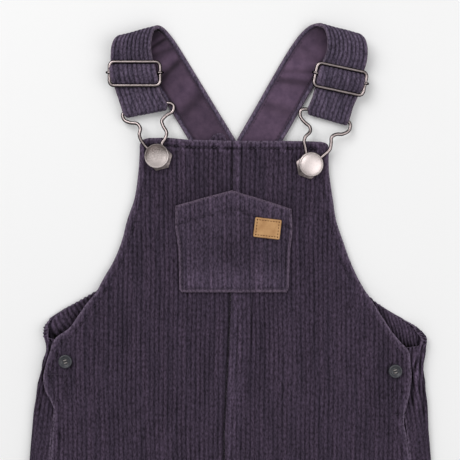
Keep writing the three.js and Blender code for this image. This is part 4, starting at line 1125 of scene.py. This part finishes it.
def kept_apart(side, grid):
    """Points of one strap kept on their side of the middle, and above the surface."""
    limit = MIDDLE_LIMIT_MM[side]
    grid[:, :, 0] = np.minimum(grid[:, :, 0], limit) if side == "left" else np.maximum(grid[:, :, 0], limit)
    grid[:, :, 2] = np.maximum(grid[:, :, 2], 0.02)
    return grid


def make_strap(side):
    places = np.concatenate([np.linspace(FIRST_SHOWN_ROW, 5, 64, endpoint=False), np.linspace(5, STRAP_LAST[side], 200)])
    centre, across, outward, wales = strap_sections(side, places)
    columns = STRAP_WALES * COLUMNS_PER_WALE + 1
    width = np.interp(places, STRAP_WIDTHS[side][:, 0], STRAP_WIDTHS[side][:, 1])[:, None]
    share = (np.linspace(0, 1, columns) - 0.5)[None, :]
    shift = np.interp(places, STRAP_SHIFTS[side][:, 0], STRAP_SHIFTS[side][:, 1])[:, None]
    sideways = share * width
    edge = width / 2 - np.abs(sideways)
    sideways = sideways + shift
    groove = groove_share(share * STRAP_WALES + 0.5, 1.0)
    edge_roll = 0.75 * np.clip(1 - edge / 1.3, 0, 1) ** 2
    shown = 0.35 + 0.65 * wales[:, None]
    wander = 0.08 * np.sin(places[:, None] * 2.6 + share * 11) * wales[:, None]
    tufted = nap(places[:, None] * 3.1, share * 29) * wales[:, None]
    rib = (0.5 - 0.55 * groove * ease(edge, 0.2, 1.2) + wander + tufted) * wales[:, None]
    out = STRAP_WALL_MM / 2 + (0.15 - edge_roll) * shown + rib
    lined = (ease(places, 1.2, 1.6) * (1 - ease(places, 7.4, 8.2)))[:, None]
    turned_in = 0.85 * np.clip(1 - ((edge - 1.4) / 1.55) ** 2, 0, 1) ** 0.5 * lined
    inside = -STRAP_WALL_MM / 2 - turned_in + 0.35 * np.clip(1 - edge / 0.8, 0, 1) ** 2
    base = centre[:, None, :] + across[:, None, :] * sideways[:, :, None]
    outer = kept_apart(side, base + outward[:, None, :] * out[:, :, None])
    inner = kept_apart(side, base + outward[:, None, :] * inside[:, :, None])
    on_fold = np.exp(-((places - 8.6) / 1.6) ** 2)[:, None]
    # Painted shade in the grooves, strongest over the fold; the strap is a little lighter overall, less where its wales
    # show.
    wear_and_shade = np.broadcast_to(0.4 - 0.2 * wales[:, None], out.shape) - (0.1 + 0.5 * on_fold) * (groove - 0.35) * wales[:, None]
    marks = {"wale": np.broadcast_to(1 - groove, out.shape), "edge": edge + 0.7, "wear_and_shade": wear_and_shade}
    piece = wall_between(f"strap_cloth_{side}", outer, inner, marks, strap_corduroy)
    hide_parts(f"strap_{side}")
    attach(piece, "root")
    return piece


LINING_FIRST_ROW = 0.6


def make_lining(side):
    places = np.linspace(LINING_FIRST_ROW, 8.2, 130)
    centre, across, outward, _ = strap_sections(side, places)
    sideways = (np.linspace(0, 1, 15) - 0.5) * LINING_WIDTH_MM
    edge = LINING_WIDTH_MM / 2 - np.abs(sideways)
    near = -STRAP_WALL_MM / 2 - 0.05
    crown = -LINING_WALL_MM + 0.75 * np.clip(1 - edge / 1.2, 0, 1) ** 2
    ripple = 0.12 * np.sin(places * 9.0)[:, None] * np.exp(-edge / 3.0)[None, :]
    crease = np.clip(lining_crease(side, places, sideways), -0.5, 0.45) * ease(edge, 0, 2.5)[None, :]
    ripple = ripple + crease
    base = centre[:, None, :] + across[:, None, :] * sideways[None, :, None]
    outer = kept_apart(side, base + outward[:, None, :] * (near + crown[None, :] + ripple)[:, :, None])
    inner = kept_apart(side, base + outward[:, None, :] * near)
    # Painted shade on the lining in the loop's mouth, in its creases, towards the fold and along its edges; the left
    # lining is also darker overall.
    mouth = ease(places, 4.9, 6.9)[:, None]
    wear_and_shade = -1.0 * np.clip(crease, -0.2, 0.5) - 0.7 * mouth - 0.25 * ease(places, 3.6, 5.4)[:, None] * (1 - mouth)
    wear_and_shade = wear_and_shade - (0.27 if side == "left" else 0.0)
    marks = {"wear_and_shade": wear_and_shade - 0.3 * np.exp(-edge / 0.8)[None, :]}
    piece = wall_between(f"lining_cloth_{side}", outer, inner, marks, twill)
    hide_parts(f"strap_lining_{side}")
    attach(piece, "root")
    return piece


straps = {side: make_strap(side) for side in SIDES}
linings = {side: make_lining(side) for side in SIDES}

# %% [markdown]
# Slider and hook clasp are bent from wire a little over two millimetres thick. A wire is a tube swept along its
# centre line, round in section, and a closed one joins itself.

# %% Wires
WIRE_MM = 1.2


def sweep_wire(points, radius, closed, sides=14):
    """A round tube along a line, as points and triangles in cutter's millimetres."""
    count = len(points)
    before = np.roll(points, 1, 0) if closed else np.vstack([points[:1], points[:-1]])
    after = np.roll(points, -1, 0) if closed else np.vstack([points[1:], points[-1:]])
    along = after - before
    along /= np.linalg.norm(along, axis=1, keepdims=True)
    start = np.array([0.0, 0.0, 1.0])
    if abs(along[0] @ start) > 0.9:
        start = np.array([1.0, 0.0, 0.0])
    side_way = start - along[0] * (along[0] @ start)
    frames = []
    for direction in along:
        side_way = side_way - direction * (direction @ side_way)
        side_way = side_way / np.linalg.norm(side_way)
        frames.append((side_way, np.cross(direction, side_way)))
    if closed:
        direction = along[0]
        final = side_way - direction * (direction @ side_way)
        final /= np.linalg.norm(final)
        twist = math.atan2(final @ frames[0][1], final @ frames[0][0])
        turned = []
        for k, (one, two) in enumerate(frames):
            angle = -twist * k / count
            turned.append((one * math.cos(angle) + two * math.sin(angle), two * math.cos(angle) - one * math.sin(angle)))
        frames = turned
    angles = np.arange(sides) * 2 * math.pi / sides
    rings = np.array([
        point + radius * (np.cos(angles)[:, None] * one + np.sin(angles)[:, None] * two)
        for point, (one, two) in zip(points, frames)
    ])
    ids = np.arange(count * sides).reshape(count, sides)
    following = np.roll(ids, -1, 0) if closed else ids[1:]
    these = ids if closed else ids[:-1]
    a, b = these, np.roll(these, -1, 1)
    c, d = np.roll(following, -1, 1), following
    quads = np.stack([a.ravel(), b.ravel(), c.ravel(), d.ravel()], 1)
    triangles = np.concatenate([quads[:, [0, 1, 2]], quads[:, [0, 2, 3]]])
    corners = rings.reshape(-1, 3)
    if not closed:
        caps = len(corners)
        corners = np.vstack([corners, points[0] - along[0] * radius * 0.5, points[-1] + along[-1] * radius * 0.5])
        first = np.stack([np.roll(ids[0], -1), ids[0], np.full(sides, caps)], 1)
        last = np.stack([ids[-1], np.roll(ids[-1], -1), np.full(sides, caps + 1)], 1)
        triangles = np.vstack([triangles, first, last])
    p, q, r = (corners[triangles[:, k]] for k in range(3))
    if np.einsum("ij,ij->i", p, np.cross(q, r)).sum() < 0:
        triangles = triangles[:, ::-1]
    return corners, triangles


def join_shapes(name, shapes, material, crown=None):
    """Several swept or turned shapes as one object. The crown mark follows the normals if not given."""
    points, triangles, offset = [], [], 0
    for corners, faces in shapes:
        points.append(corners)
        triangles.append(faces + offset)
        offset += len(corners)
    points, triangles = np.vstack(points), np.vstack(triangles)
    a, b, c = (points[triangles[:, k]] for k in range(3))
    facing = np.cross(b - a, c - a)
    normal = np.zeros_like(points)
    for k in range(3):
        np.add.at(normal, triangles[:, k], facing)
    # Left alone, the mark follows the normals: the tops take the light colour as a painted highlight and the sides the
    # dark as painted shade.
    if crown is None:
        crown = np.clip(normal[:, 2] / np.maximum(np.linalg.norm(normal, axis=1), 1e-9), 0, 1) ** 5
    return put_mesh(name, to_frame(points), triangles, {"crown": crown}, material)


def fitted(piece, node):
    """Make a piece stand for its node: the node is hidden and the piece attached."""
    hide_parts(*([node] if isinstance(node, str) else node))
    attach(piece, "root")
    return piece


def make_slider(side):
    """A rounded frame, and a crossbar whose ends curl once round the frame's sides."""
    half_x, half_y, bend = 37.5 / 2 - WIRE_MM, 18.8 / 2 - WIRE_MM, 3.2
    corners = [(1, 1, 0), (-1, 1, 90), (-1, -1, 180), (1, -1, 270)]
    ring = []
    for sx, sy, start in corners:
        for step in range(9):
            angle = math.radians(start + step * 90 / 8)
            ring.append((sx * (half_x - bend) + bend * math.cos(angle), sy * (half_y - bend) + bend * math.sin(angle), 0))
    ring = np.array(ring)
    filled = []
    for k in range(len(ring)):
        following = ring[(k + 1) % len(ring)]
        pieces = max(int(np.linalg.norm(following - ring[k]) / 1.2), 1)
        filled += [ring[k] + (following - ring[k]) * s / pieces for s in range(pieces)]
    shapes = [sweep_wire(np.array(filled), WIRE_MM, True)]
    curl = []
    reach = CROSSBAR_DROP_MM + 0.1
    for step in range(22):
        angle = math.radians(-90 - 300 * (1 - step / 21))
        shift = 0.9 * (1 - step / 21)
        curl.append((-half_x - reach * math.cos(angle), shift, reach * math.sin(angle)))
    bar = [(-half_x + (2 * half_x) * s / 30, 0, -reach) for s in range(1, 30)]
    far = [(-x, y, z) for x, y, z in curl[::-1]]
    shapes.append(sweep_wire(np.array(curl + bar + far), 0.85, False))
    x, y, turn = SLIDER_PLACES[side]
    angle = math.radians(turn)
    placed = []
    for points, faces in shapes:
        moved = points.copy()
        moved[:, 0] = x + points[:, 0] * math.cos(angle) - points[:, 1] * math.sin(angle)
        moved[:, 1] = y + points[:, 0] * math.sin(angle) + points[:, 1] * math.cos(angle)
        moved[:, 2] += SLIDER_FRAME_Z
        placed.append((moved, faces))
    return fitted(join_shapes(f"slider_wire_{side}", placed, wire_metal), f"slider_{side}")


HOOK_WIRES = {
    "left": [
        (-75.6, 20.4, 4.0), (-77.8, 18.6, 4.0), (-76.6, 14.8, 4.4), (-72.6, 12.8, 5.0), (-67.6, 12.0, 5.7),
        (-65.3, 8.6, 6.6), (-66.0, 4.6, 7.3), (-65.2, 1.4, 7.5), (-62.4, -3.0, 7.8), (-58.6, -7.4, 8.15),
        (-57.8, -11.4, 8.25), (-54.2, -15.2, 8.6), (-50.2, -13.8, 8.95), (-48.8, -10.0, 9.1),
        (-49.2, -5.6, 9.05), (-50.2, -2.0, 9.0), (-48.0, 1.4, 9.0), (-47.0, 5.6, 8.2), (-49.6, 10.6, 6.8),
        (-50.4, 14.2, 6.0), (-47.4, 17.8, 5.2), (-43.0, 20.8, 4.6), (-42.4, 24.8, 4.3), (-45.6, 26.6, 4.0),
        (-61.8, 22.9, 4.0),
    ],
    "right": [
        (78.0, 14.6, 4.0), (80.6, 11.6, 4.0), (79.6, 7.4, 4.5), (75.2, 4.9, 5.4), (70.6, 4.6, 6.2),
        (67.4, 2.6, 6.8), (67.0, -1.6, 7.1), (66.0, -6.0, 7.35), (61.8, -10.0, 7.8), (57.4, -14.0, 8.25),
        (56.8, -18.2, 8.35), (52.6, -21.0, 8.75), (48.6, -18.8, 9.1), (48.1, -14.6, 9.15), (49.4, -10.0, 9.05),
        (49.0, -5.4, 9.1), (48.1, -1.0, 9.1), (49.0, 2.6, 8.8), (52.4, 6.4, 7.6), (52.2, 9.8, 6.6),
        (48.6, 13.2, 5.6), (45.8, 17.4, 4.7), (46.2, 21.6, 4.3), (50.0, 22.4, 4.0), (66.0, 18.4, 4.0),
    ],
}


def closed_route(points, count):
    """A smooth closed line through the points."""
    ring = np.array(points, float)
    wrapped = np.vstack([ring[-2:], ring, ring[:3]])
    places = np.linspace(2, 2 + len(ring), count, endpoint=False)
    return smooth_route(wrapped, places)


def make_hook(side):
    wire = sweep_wire(closed_route(HOOK_WIRES[side], 260), WIRE_MM, True)
    return fitted(join_shapes(f"hook_wire_{side}", [wire], wire_metal), f"hook_{side}")


sliders = {side: make_slider(side) for side in SIDES}
hooks = {side: make_hook(side) for side in SIDES}
print("wires ready")

# %% [markdown]
# A tack button is stamped from sheet: a domed cap with a rolled rim, crimped onto a shank, over
# a six-sided plate. The side buttons are cast, with a raised rim, four holes and two bars of thread.

# %% Tack buttons and side buttons
CAP_RADIUS_MM = 8.5
PLATE_RADIUS_MM = 9.2
CAP_UNDERSIDE_MM = 3.6
TACK_PLACES = {"left": (-53.3, -10.7), "right": (52.5, -16.5)}
BUTTON_PLACES = {"left": (-116.8, -152.6), "right": (111.0, -159.3)}
BUTTON_RADIUS_MM = 4.7
BUTTON_WALL_MM = 2.2


def turned_shape(profile, steps):
    """A profile of radius and height turned round the Z axis. It starts and ends on the axis."""
    profile = np.array(profile, float)
    angles = np.arange(steps) * 2 * math.pi / steps
    middle = profile[1:-1]
    rings = np.stack([
        middle[:, 0][:, None] * np.cos(angles), middle[:, 0][:, None] * np.sin(angles),
        middle[:, 1][:, None] * np.ones(steps),
    ], 2).reshape(-1, 3)
    points = np.vstack([rings, [0, 0, profile[0, 1]], [0, 0, profile[-1, 1]]])
    ids = np.arange(len(middle) * steps).reshape(len(middle), steps)
    a, b = ids[:-1], np.roll(ids[:-1], -1, 1)
    c, d = np.roll(ids[1:], -1, 1), ids[1:]
    quads = np.stack([a.ravel(), b.ravel(), c.ravel(), d.ravel()], 1)
    low = np.stack([np.roll(ids[0], -1), ids[0], np.full(steps, len(points) - 2)], 1)
    high = np.stack([ids[-1], np.roll(ids[-1], -1), np.full(steps, len(points) - 1)], 1)
    triangles = np.vstack([quads[:, [0, 1, 2]], quads[:, [0, 2, 3]], low, high])
    return points, triangles


def seated(points, x, y, tilt, base):
    """Points turned about the Y axis by the cloth's slope and set down on it."""
    moved = points.copy()
    moved[:, 0] = x + points[:, 0] * math.cos(tilt) + points[:, 2] * math.sin(tilt)
    moved[:, 1] = y + points[:, 1]
    moved[:, 2] = base - points[:, 0] * math.sin(tilt) + points[:, 2] * math.cos(tilt)
    return moved


def make_tack(side):
    x, y = TACK_PLACES[side]
    base = float(front_height(x, y)) + 0.3
    tilt = math.atan2(float(front_height(x - 1, y) - front_height(x + 1, y)), 2)
    r, u = CAP_RADIUS_MM, CAP_UNDERSIDE_MM
    profile = [
        (0, 1.3), (2.5, 1.3), (2.5, u - 0.3), (2.8, u), (r - 1.0, u), (r - 0.3, u + 0.15), (r, u + 0.6),
        (r - 0.05, u + 1.0), (r - 0.35, u + 1.35), (r - 0.8, u + 1.5), (r - 1.15, u + 1.42), (r - 1.5, u + 1.5),
        (r * 0.66, u + 2.0), (r * 0.45, u + 2.3), (r * 0.22, u + 2.47), (0, u + 2.52),
    ]
    cap, cap_faces = turned_shape(profile, 64)
    out = np.hypot(cap[:, 0], cap[:, 1]) / r
    # Painted reflection: on the left cap the light runs in from one side and along the rim, on the right cap it fades
    # towards the rim, and a dark ring paints shade in the dip inside the rolled rim.
    if side == "left":
        crown = 0.2 + 0.85 * ease((0.25 * cap[:, 0] - cap[:, 1]) / r, -0.75, 0.75) + 0.35 * ease(out, 0.9, 1.0)
    else:
        crown = 0.95 - 0.35 * ease(out, 0.7, 0.98)
    crown = crown - 0.45 * np.exp(-((out - 0.865) / 0.03) ** 2)
    cap = join_shapes(f"tack_dome_{side}", [(seated(cap, x, y, tilt, base), cap_faces)], CAP_METALS[side], crown)
    fitted(cap, f"tack_cap_{side}")
    rim = PLATE_RADIUS_MM
    plate, plate_faces = turned_shape([(0, 0), (rim - 0.3, 0), (rim, 0.2), (rim, 0.8), (rim - 0.3, 1.0), (0, 1.0)], 6)
    spin = math.radians(-106 if side == "left" else -80)
    spun = plate.copy()
    spun[:, 0] = plate[:, 0] * math.cos(spin) - plate[:, 1] * math.sin(spin) + (1.4 if side == "left" else -1.2)
    spun[:, 1] = plate[:, 0] * math.sin(spin) + plate[:, 1] * math.cos(spin) - 1.2
    # Painted highlight along the plate's rim.
    plate_crown = 0.5 + 0.5 * ease(np.hypot(plate[:, 0], plate[:, 1]), rim - 0.25, rim - 0.05)
    plate = join_shapes(f"tack_base_{side}", [(seated(spun, x, y, tilt, base), plate_faces)], wire_metal, plate_crown)
    fitted(plate, f"tack_plate_{side}")
    return cap, plate


def make_button(side):
    x, y = BUTTON_PLACES[side]
    base = float(front_height(x, y)) + 0.3
    r, w = BUTTON_RADIUS_MM, BUTTON_WALL_MM
    profile = [
        (0, 0), (r - 1.2, 0), (r - 0.5, 0.15), (r, 0.8), (r, w - 0.7), (r - 0.15, w - 0.25), (r - 0.5, w),
        (r - 0.95, w), (r - 1.35, w - 0.25), (r - 1.8, w - 0.75), (r - 2.4, w - 0.9), (1.0, w - 0.85), (0, w - 0.8),
    ]
    disc, faces = turned_shape(profile, 56)
    blank = join_shapes(f"side_button_{side}", [(disc + np.array([x, y, base]), faces)], button_resin)
    drill_shapes = []
    stems = []
    for hole in range(4):
        angle = math.radians(62 + 90 * hole)
        at = np.array([x + 1.3 * math.cos(angle), y + 1.3 * math.sin(angle), 0])
        rod, rod_faces = turned_shape([(0, base - 1), (0.6, base - 1), (0.6, base + 4), (0, base + 4)], 16)
        drill_shapes.append((rod + at, rod_faces))
        stems.append(at)
    drill = join_shapes(f"drill_{side}", drill_shapes, button_resin)
    cut = blank.modifiers.new("holes", "BOOLEAN")
    cut.operation = "DIFFERENCE"
    cut.object = drill
    cut.solver = "EXACT"
    depsgraph = bpy.context.evaluated_depsgraph_get()
    whole = bpy.data.meshes.new_from_object(blank.evaluated_get(depsgraph))
    blank.modifiers.clear()
    blank.data = whole
    bpy.data.objects.remove(drill)
    top = base + w - 0.7
    threads = []
    for one, two in ((0, 1), (2, 3)):
        a, b = stems[one], stems[two]
        line = [a + (0, 0, base + 0.2), a + (0, 0, top), a + (b - a) * 0.15 + (0, 0, top + 0.35),
                a + (b - a) * 0.85 + (0, 0, top + 0.35), b + (0, 0, top), b + (0, 0, base + 0.2)]
        threads.append(sweep_wire(smooth_route(np.array(line), np.linspace(0, 5, 28)), 0.42, False, 8))
    sewing = join_shapes(f"button_thread_{side}", threads, button_thread)
    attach(sewing, "root")
    return fitted(blank, f"button_{side}")


tacks = {side: make_tack(side) for side in SIDES}
buttons = {side: make_button(side) for side in SIDES}
print("buttons ready")

# %% [markdown]
# The label is a small leather-look patch, die-cut with slightly rounded corners and left bare.

# %% Label
LABEL_MM = (18.4, 13.7, 1.2)
LABEL_PLACE = (22.8, -60.7, -6.6)


def label_point(u, v, z):
    """A point of the label, from its own middle, in cutter's millimetres."""
    x0, y0, turn = LABEL_PLACE
    angle = math.radians(turn)
    return (x0 + u * math.cos(angle) - v * math.sin(angle), y0 + u * math.sin(angle) + v * math.cos(angle), z)


def make_label():
    low, high = (corner.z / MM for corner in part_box("label"))
    width, height, _ = LABEL_MM
    u, v = np.meshgrid(np.linspace(-0.5, 0.5, 61), np.linspace(-0.5, 0.5, 47))
    side_gap = np.minimum(0.5 - np.abs(u), 10) * width
    end_gap = np.minimum(0.5 - np.abs(v), 10) * height
    gap = np.minimum(side_gap, end_gap)
    corner = 1.0
    inward_u = np.clip(corner - side_gap, 0, None)
    inward_v = np.clip(corner - end_gap, 0, None)
    reach = np.hypot(inward_u, inward_v)
    pull = np.where(reach > corner, corner / np.maximum(reach, 1e-6), 1.0)
    uu = np.sign(u) * (np.abs(u) * width + inward_u * (1 - pull) * -1)
    vv = np.sign(v) * (np.abs(v) * height + inward_v * (1 - pull) * -1)
    roll = 0.5 * np.clip(1 - gap / 0.8, 0, 1) ** 2
    sewn = 0.22 * np.exp(-((gap - 1.6) / 0.45) ** 2)
    curl = 0.18 * np.sin(uu / 5 + 1) * np.cos(vv / 4)
    top = high - 0.25 - roll - sewn + curl * ease(gap, 0, 3)
    outer = np.stack([*label_point(uu, vv, top)], 2)
    inner = np.stack([*label_point(uu, vv, np.full_like(top, low))], 2)
    return fitted(wall_between("label_patch", outer, inner, {}, patch_leather), "label")


label = make_label()

# %% [markdown]
# Stitching repeats, so Geometry Nodes lay it: each seam is a line of edges, cut into steps of one
# stitch, with a short fat thread set along the line at every step.

# %% Stitch tree
def stitch_tree():
    """Turns lines into rows of stitches. Inputs: pitch, stitch length, thread radius, thread."""
    tree = bpy.data.node_groups.new("stitch_row", "GeometryNodeTree")
    tree.interface.new_socket("Geometry", in_out="INPUT", socket_type="NodeSocketGeometry")
    for name in ("Pitch", "Stitch length", "Thread radius"):
        tree.interface.new_socket(name, in_out="INPUT", socket_type="NodeSocketFloat")
    tree.interface.new_socket("Thread", in_out="INPUT", socket_type="NodeSocketMaterial")
    tree.interface.new_socket("Geometry", in_out="OUTPUT", socket_type="NodeSocketGeometry")
    given = add_node(tree, "NodeGroupInput")
    line = add_node(tree, "GeometryNodeMeshToCurve", links={"Mesh": given.outputs["Geometry"]})
    steps = add_node(tree, "GeometryNodeCurveToPoints", {"mode": "LENGTH"},
                     links={"Curve": line.outputs[0], "Length": given.outputs["Pitch"]})
    turn = add_node(tree, "FunctionNodeAlignRotationToVector", {"axis": "X"}, links={"Vector": steps.outputs["Tangent"]})
    thread = add_node(tree, "GeometryNodeMeshUVSphere", values={"Segments": 6, "Rings": 4, "Radius": 1.0})
    half = add_node(tree, "ShaderNodeMath", {"operation": "MULTIPLY"}, {1: 0.5}, {0: given.outputs["Stitch length"]})
    size = add_node(tree, "ShaderNodeCombineXYZ",
                    links={"X": half.outputs[0], "Y": given.outputs["Thread radius"], "Z": given.outputs["Thread radius"]})
    laid = add_node(tree, "GeometryNodeInstanceOnPoints",
                    links={"Points": steps.outputs["Points"], "Instance": thread.outputs["Mesh"],
                           "Rotation": turn.outputs[0], "Scale": size.outputs[0]})
    real = add_node(tree, "GeometryNodeRealizeInstances", links={"Geometry": laid.outputs[0]})
    painted = add_node(tree, "GeometryNodeSetMaterial",
                       links={"Geometry": real.outputs[0], "Material": given.outputs["Thread"]})
    smooth = add_node(tree, "GeometryNodeSetShadeSmooth", links={"Geometry": painted.outputs[0]})
    add_node(tree, "NodeGroupOutput", links={"Geometry": smooth.outputs[0]})
    return tree


stitches = stitch_tree()


def sew(name, lines, pitch, length, radius, thread):
    """Rows of stitches along lines in cutter's millimetres, as one plain mesh."""
    points, edges, offset = [], [], 0
    for line in lines:
        line = np.array(line, float)
        points.append(to_frame(line))
        edges += [(offset + k, offset + k + 1) for k in range(len(line) - 1)]
        offset += len(line)
    mesh = bpy.data.meshes.new(name)
    mesh.from_pydata(np.vstack(points).tolist(), edges, [])
    piece = bpy.data.objects.new(name, mesh)
    bpy.context.collection.objects.link(piece)
    rows = piece.modifiers.new("rows", "NODES")
    rows.node_group = stitches
    given = {"Pitch": pitch * MM, "Stitch length": length * MM, "Thread radius": radius * MM, "Thread": thread}
    for item in stitches.interface.items_tree:
        if item.in_out == "INPUT" and item.name in given:
            rows[item.identifier] = given[item.name]
    depsgraph = bpy.context.evaluated_depsgraph_get()
    sewn = bpy.data.meshes.new_from_object(piece.evaluated_get(depsgraph))
    piece.modifiers.clear()
    piece.data = sewn
    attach(piece, "root")
    print(name, len(sewn.polygons), "faces")
    return piece


# %% [markdown]
# The seams on this garment: one row inside the bib and armhole edges, two beside the centre
# seam, one round the pocket and under its point, a box on each side placket, one near each edge
# of the straps, and the hems.

# %% Sewing
def offset_line(line, distance, inward_of):
    """A line moved sideways, towards a point."""
    line = np.array(line, float)
    along = np.gradient(line, axis=0)
    along /= np.linalg.norm(along, axis=1, keepdims=True)
    side_way = np.stack([-along[:, 1], along[:, 0]], 1)
    towards = np.sign(((np.array(inward_of) - line) * side_way).sum(1))
    return line + side_way * (towards * distance)[:, None]


def on_front(line, lift=0.0, lap=False):
    line = np.array(line, float)
    x, y = line[:, 0], line[:, 1]
    height = front_height(x, y) - 0.32 + lift + (band_height(x, y) if lap else 0)
    return np.stack([x, y, height], 1)


def thinned(line, every):
    return line[::every]


front_seams = []
for side in SIDES:
    free = front_lines[side]
    armhole = free[(free[:, 1] > -183)]
    inside = offset_line(thinned(armhole, 4), TURN_MM, (-3, -90))
    keep = np.abs(inside[:, 0] + 1.3) > 3
    front_seams.append(on_front(inside[keep], 0.05))
    front_seams += [on_front([(x0, y0), (x1, y1)], -0.15) for x0, y0, x1, y1, _, _ in PLACKET_LINES[side]]
seam_rows = np.arange(-329, 0, 3.0)
centre_x = straight_read(INNER_EDGES, seam_rows, 2)
lap_one = on_front(np.stack([centre_x + 1.6, seam_rows], 1), 0.0, True)
lap_two = on_front(np.stack([centre_x + 6.2 * np.ones_like(seam_rows) - (seam_rows > -70) * 1.4, seam_rows], 1), 0.0, True)
for row in (lap_one, lap_two):
    clear = (row[:, 1] < -106) | (row[:, 1] > -33)
    front_seams += [row[(row[:, 1] < -106)], row[(row[:, 1] > -33)]]
fly_rows = np.arange(-300, -107, 3.0)
front_seams.append(on_front(np.stack([straight_read(INNER_EDGES, fly_rows, 2) + 14.2, fly_rows], 1), 0.05, True))
for side in SIDES:
    column = SIDES[side]
    outer_x = float(smooth_read(FRONT_EDGES, np.array([-558.0]), column)[0])
    inner_x = float(straight_read(INNER_EDGES, -558.0, column))
    hem_x = np.linspace(outer_x, inner_x, 30)
    front_seams.append(on_front(np.stack([hem_x, np.full(30, -552.0)], 1), 0.1))
front_sewing = sew("front_sewing", front_seams, 2.9, 2.3, 0.26, plum_thread)

pocket_line = pocket_outline()
pocket_inset = offset_line(pocket_line[::3], 2.4, (0, -75))
pocket_rows = [np.column_stack([pocket_inset, pocket_height(pocket_inset[:, 0], pocket_inset[:, 1]) - 0.2])]
hem_x = np.linspace(-37.5, 36.5, 60)
hem_y = np.interp(hem_x, POCKET_TOP[:, 0], POCKET_TOP[:, 1]) - POCKET_HEM_MM
pocket_rows.append(np.column_stack([hem_x, hem_y, pocket_height(hem_x, hem_y) - 0.25]))
pocket_sewing = sew("pocket_sewing", pocket_rows, 2.6, 2.0, 0.25, plum_thread)

label_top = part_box("label")[1].z / MM
inset_u, inset_v = LABEL_MM[0] / 2 - 1.6, LABEL_MM[1] / 2 - 1.6
ring = [(-inset_u, -inset_v), (inset_u, -inset_v), (inset_u, inset_v), (-inset_u, inset_v), (-inset_u, -inset_v)]
label_rows = [[label_point(u, v, label_top - 0.42) for u, v in pair] for pair in zip(ring[:-1], ring[1:])]
label_sewing = sew("label_sewing", label_rows, 1.9, 1.45, 0.3, label_thread)

strap_rows_sewn = []
for side in SIDES:
    for edge_side in (-1, 1):
        places = np.linspace(1.1, 8.0, 90)
        centre, across, outward, _ = strap_sections(side, places)
        strap_rows_sewn.append(centre + across * edge_side * 9.6 - outward * (STRAP_WALL_MM / 2 + LINING_WALL_MM + 0.0))
strap_sewing = sew("strap_sewing", strap_rows_sewn, 2.8, 2.1, 0.24, plum_thread)

# %% [markdown]
# The flat areas of the fronts and backs are worked out from the outlines above.

def cut_area(rows, width):
    """Square metres of a cut whose width is known at each height."""
    return float(np.trapezoid(width, rows) if hasattr(np, "trapezoid") else np.trapz(width, rows)) * MM * MM


for side in SIDES:
    column = SIDES[side]
    heights = np.linspace(-570, 0, 300)
    front_width = np.abs(smooth_read(FRONT_EDGES, heights, column) - straight_read(INNER_EDGES, heights, column))
    cut_area(heights, front_width)
    heights = np.linspace(-570, -2, 300)
    cloth_limit = back_path(side, heights, np.full_like(heights, 999.0))[7]
    cut_area(heights, cloth_limit)
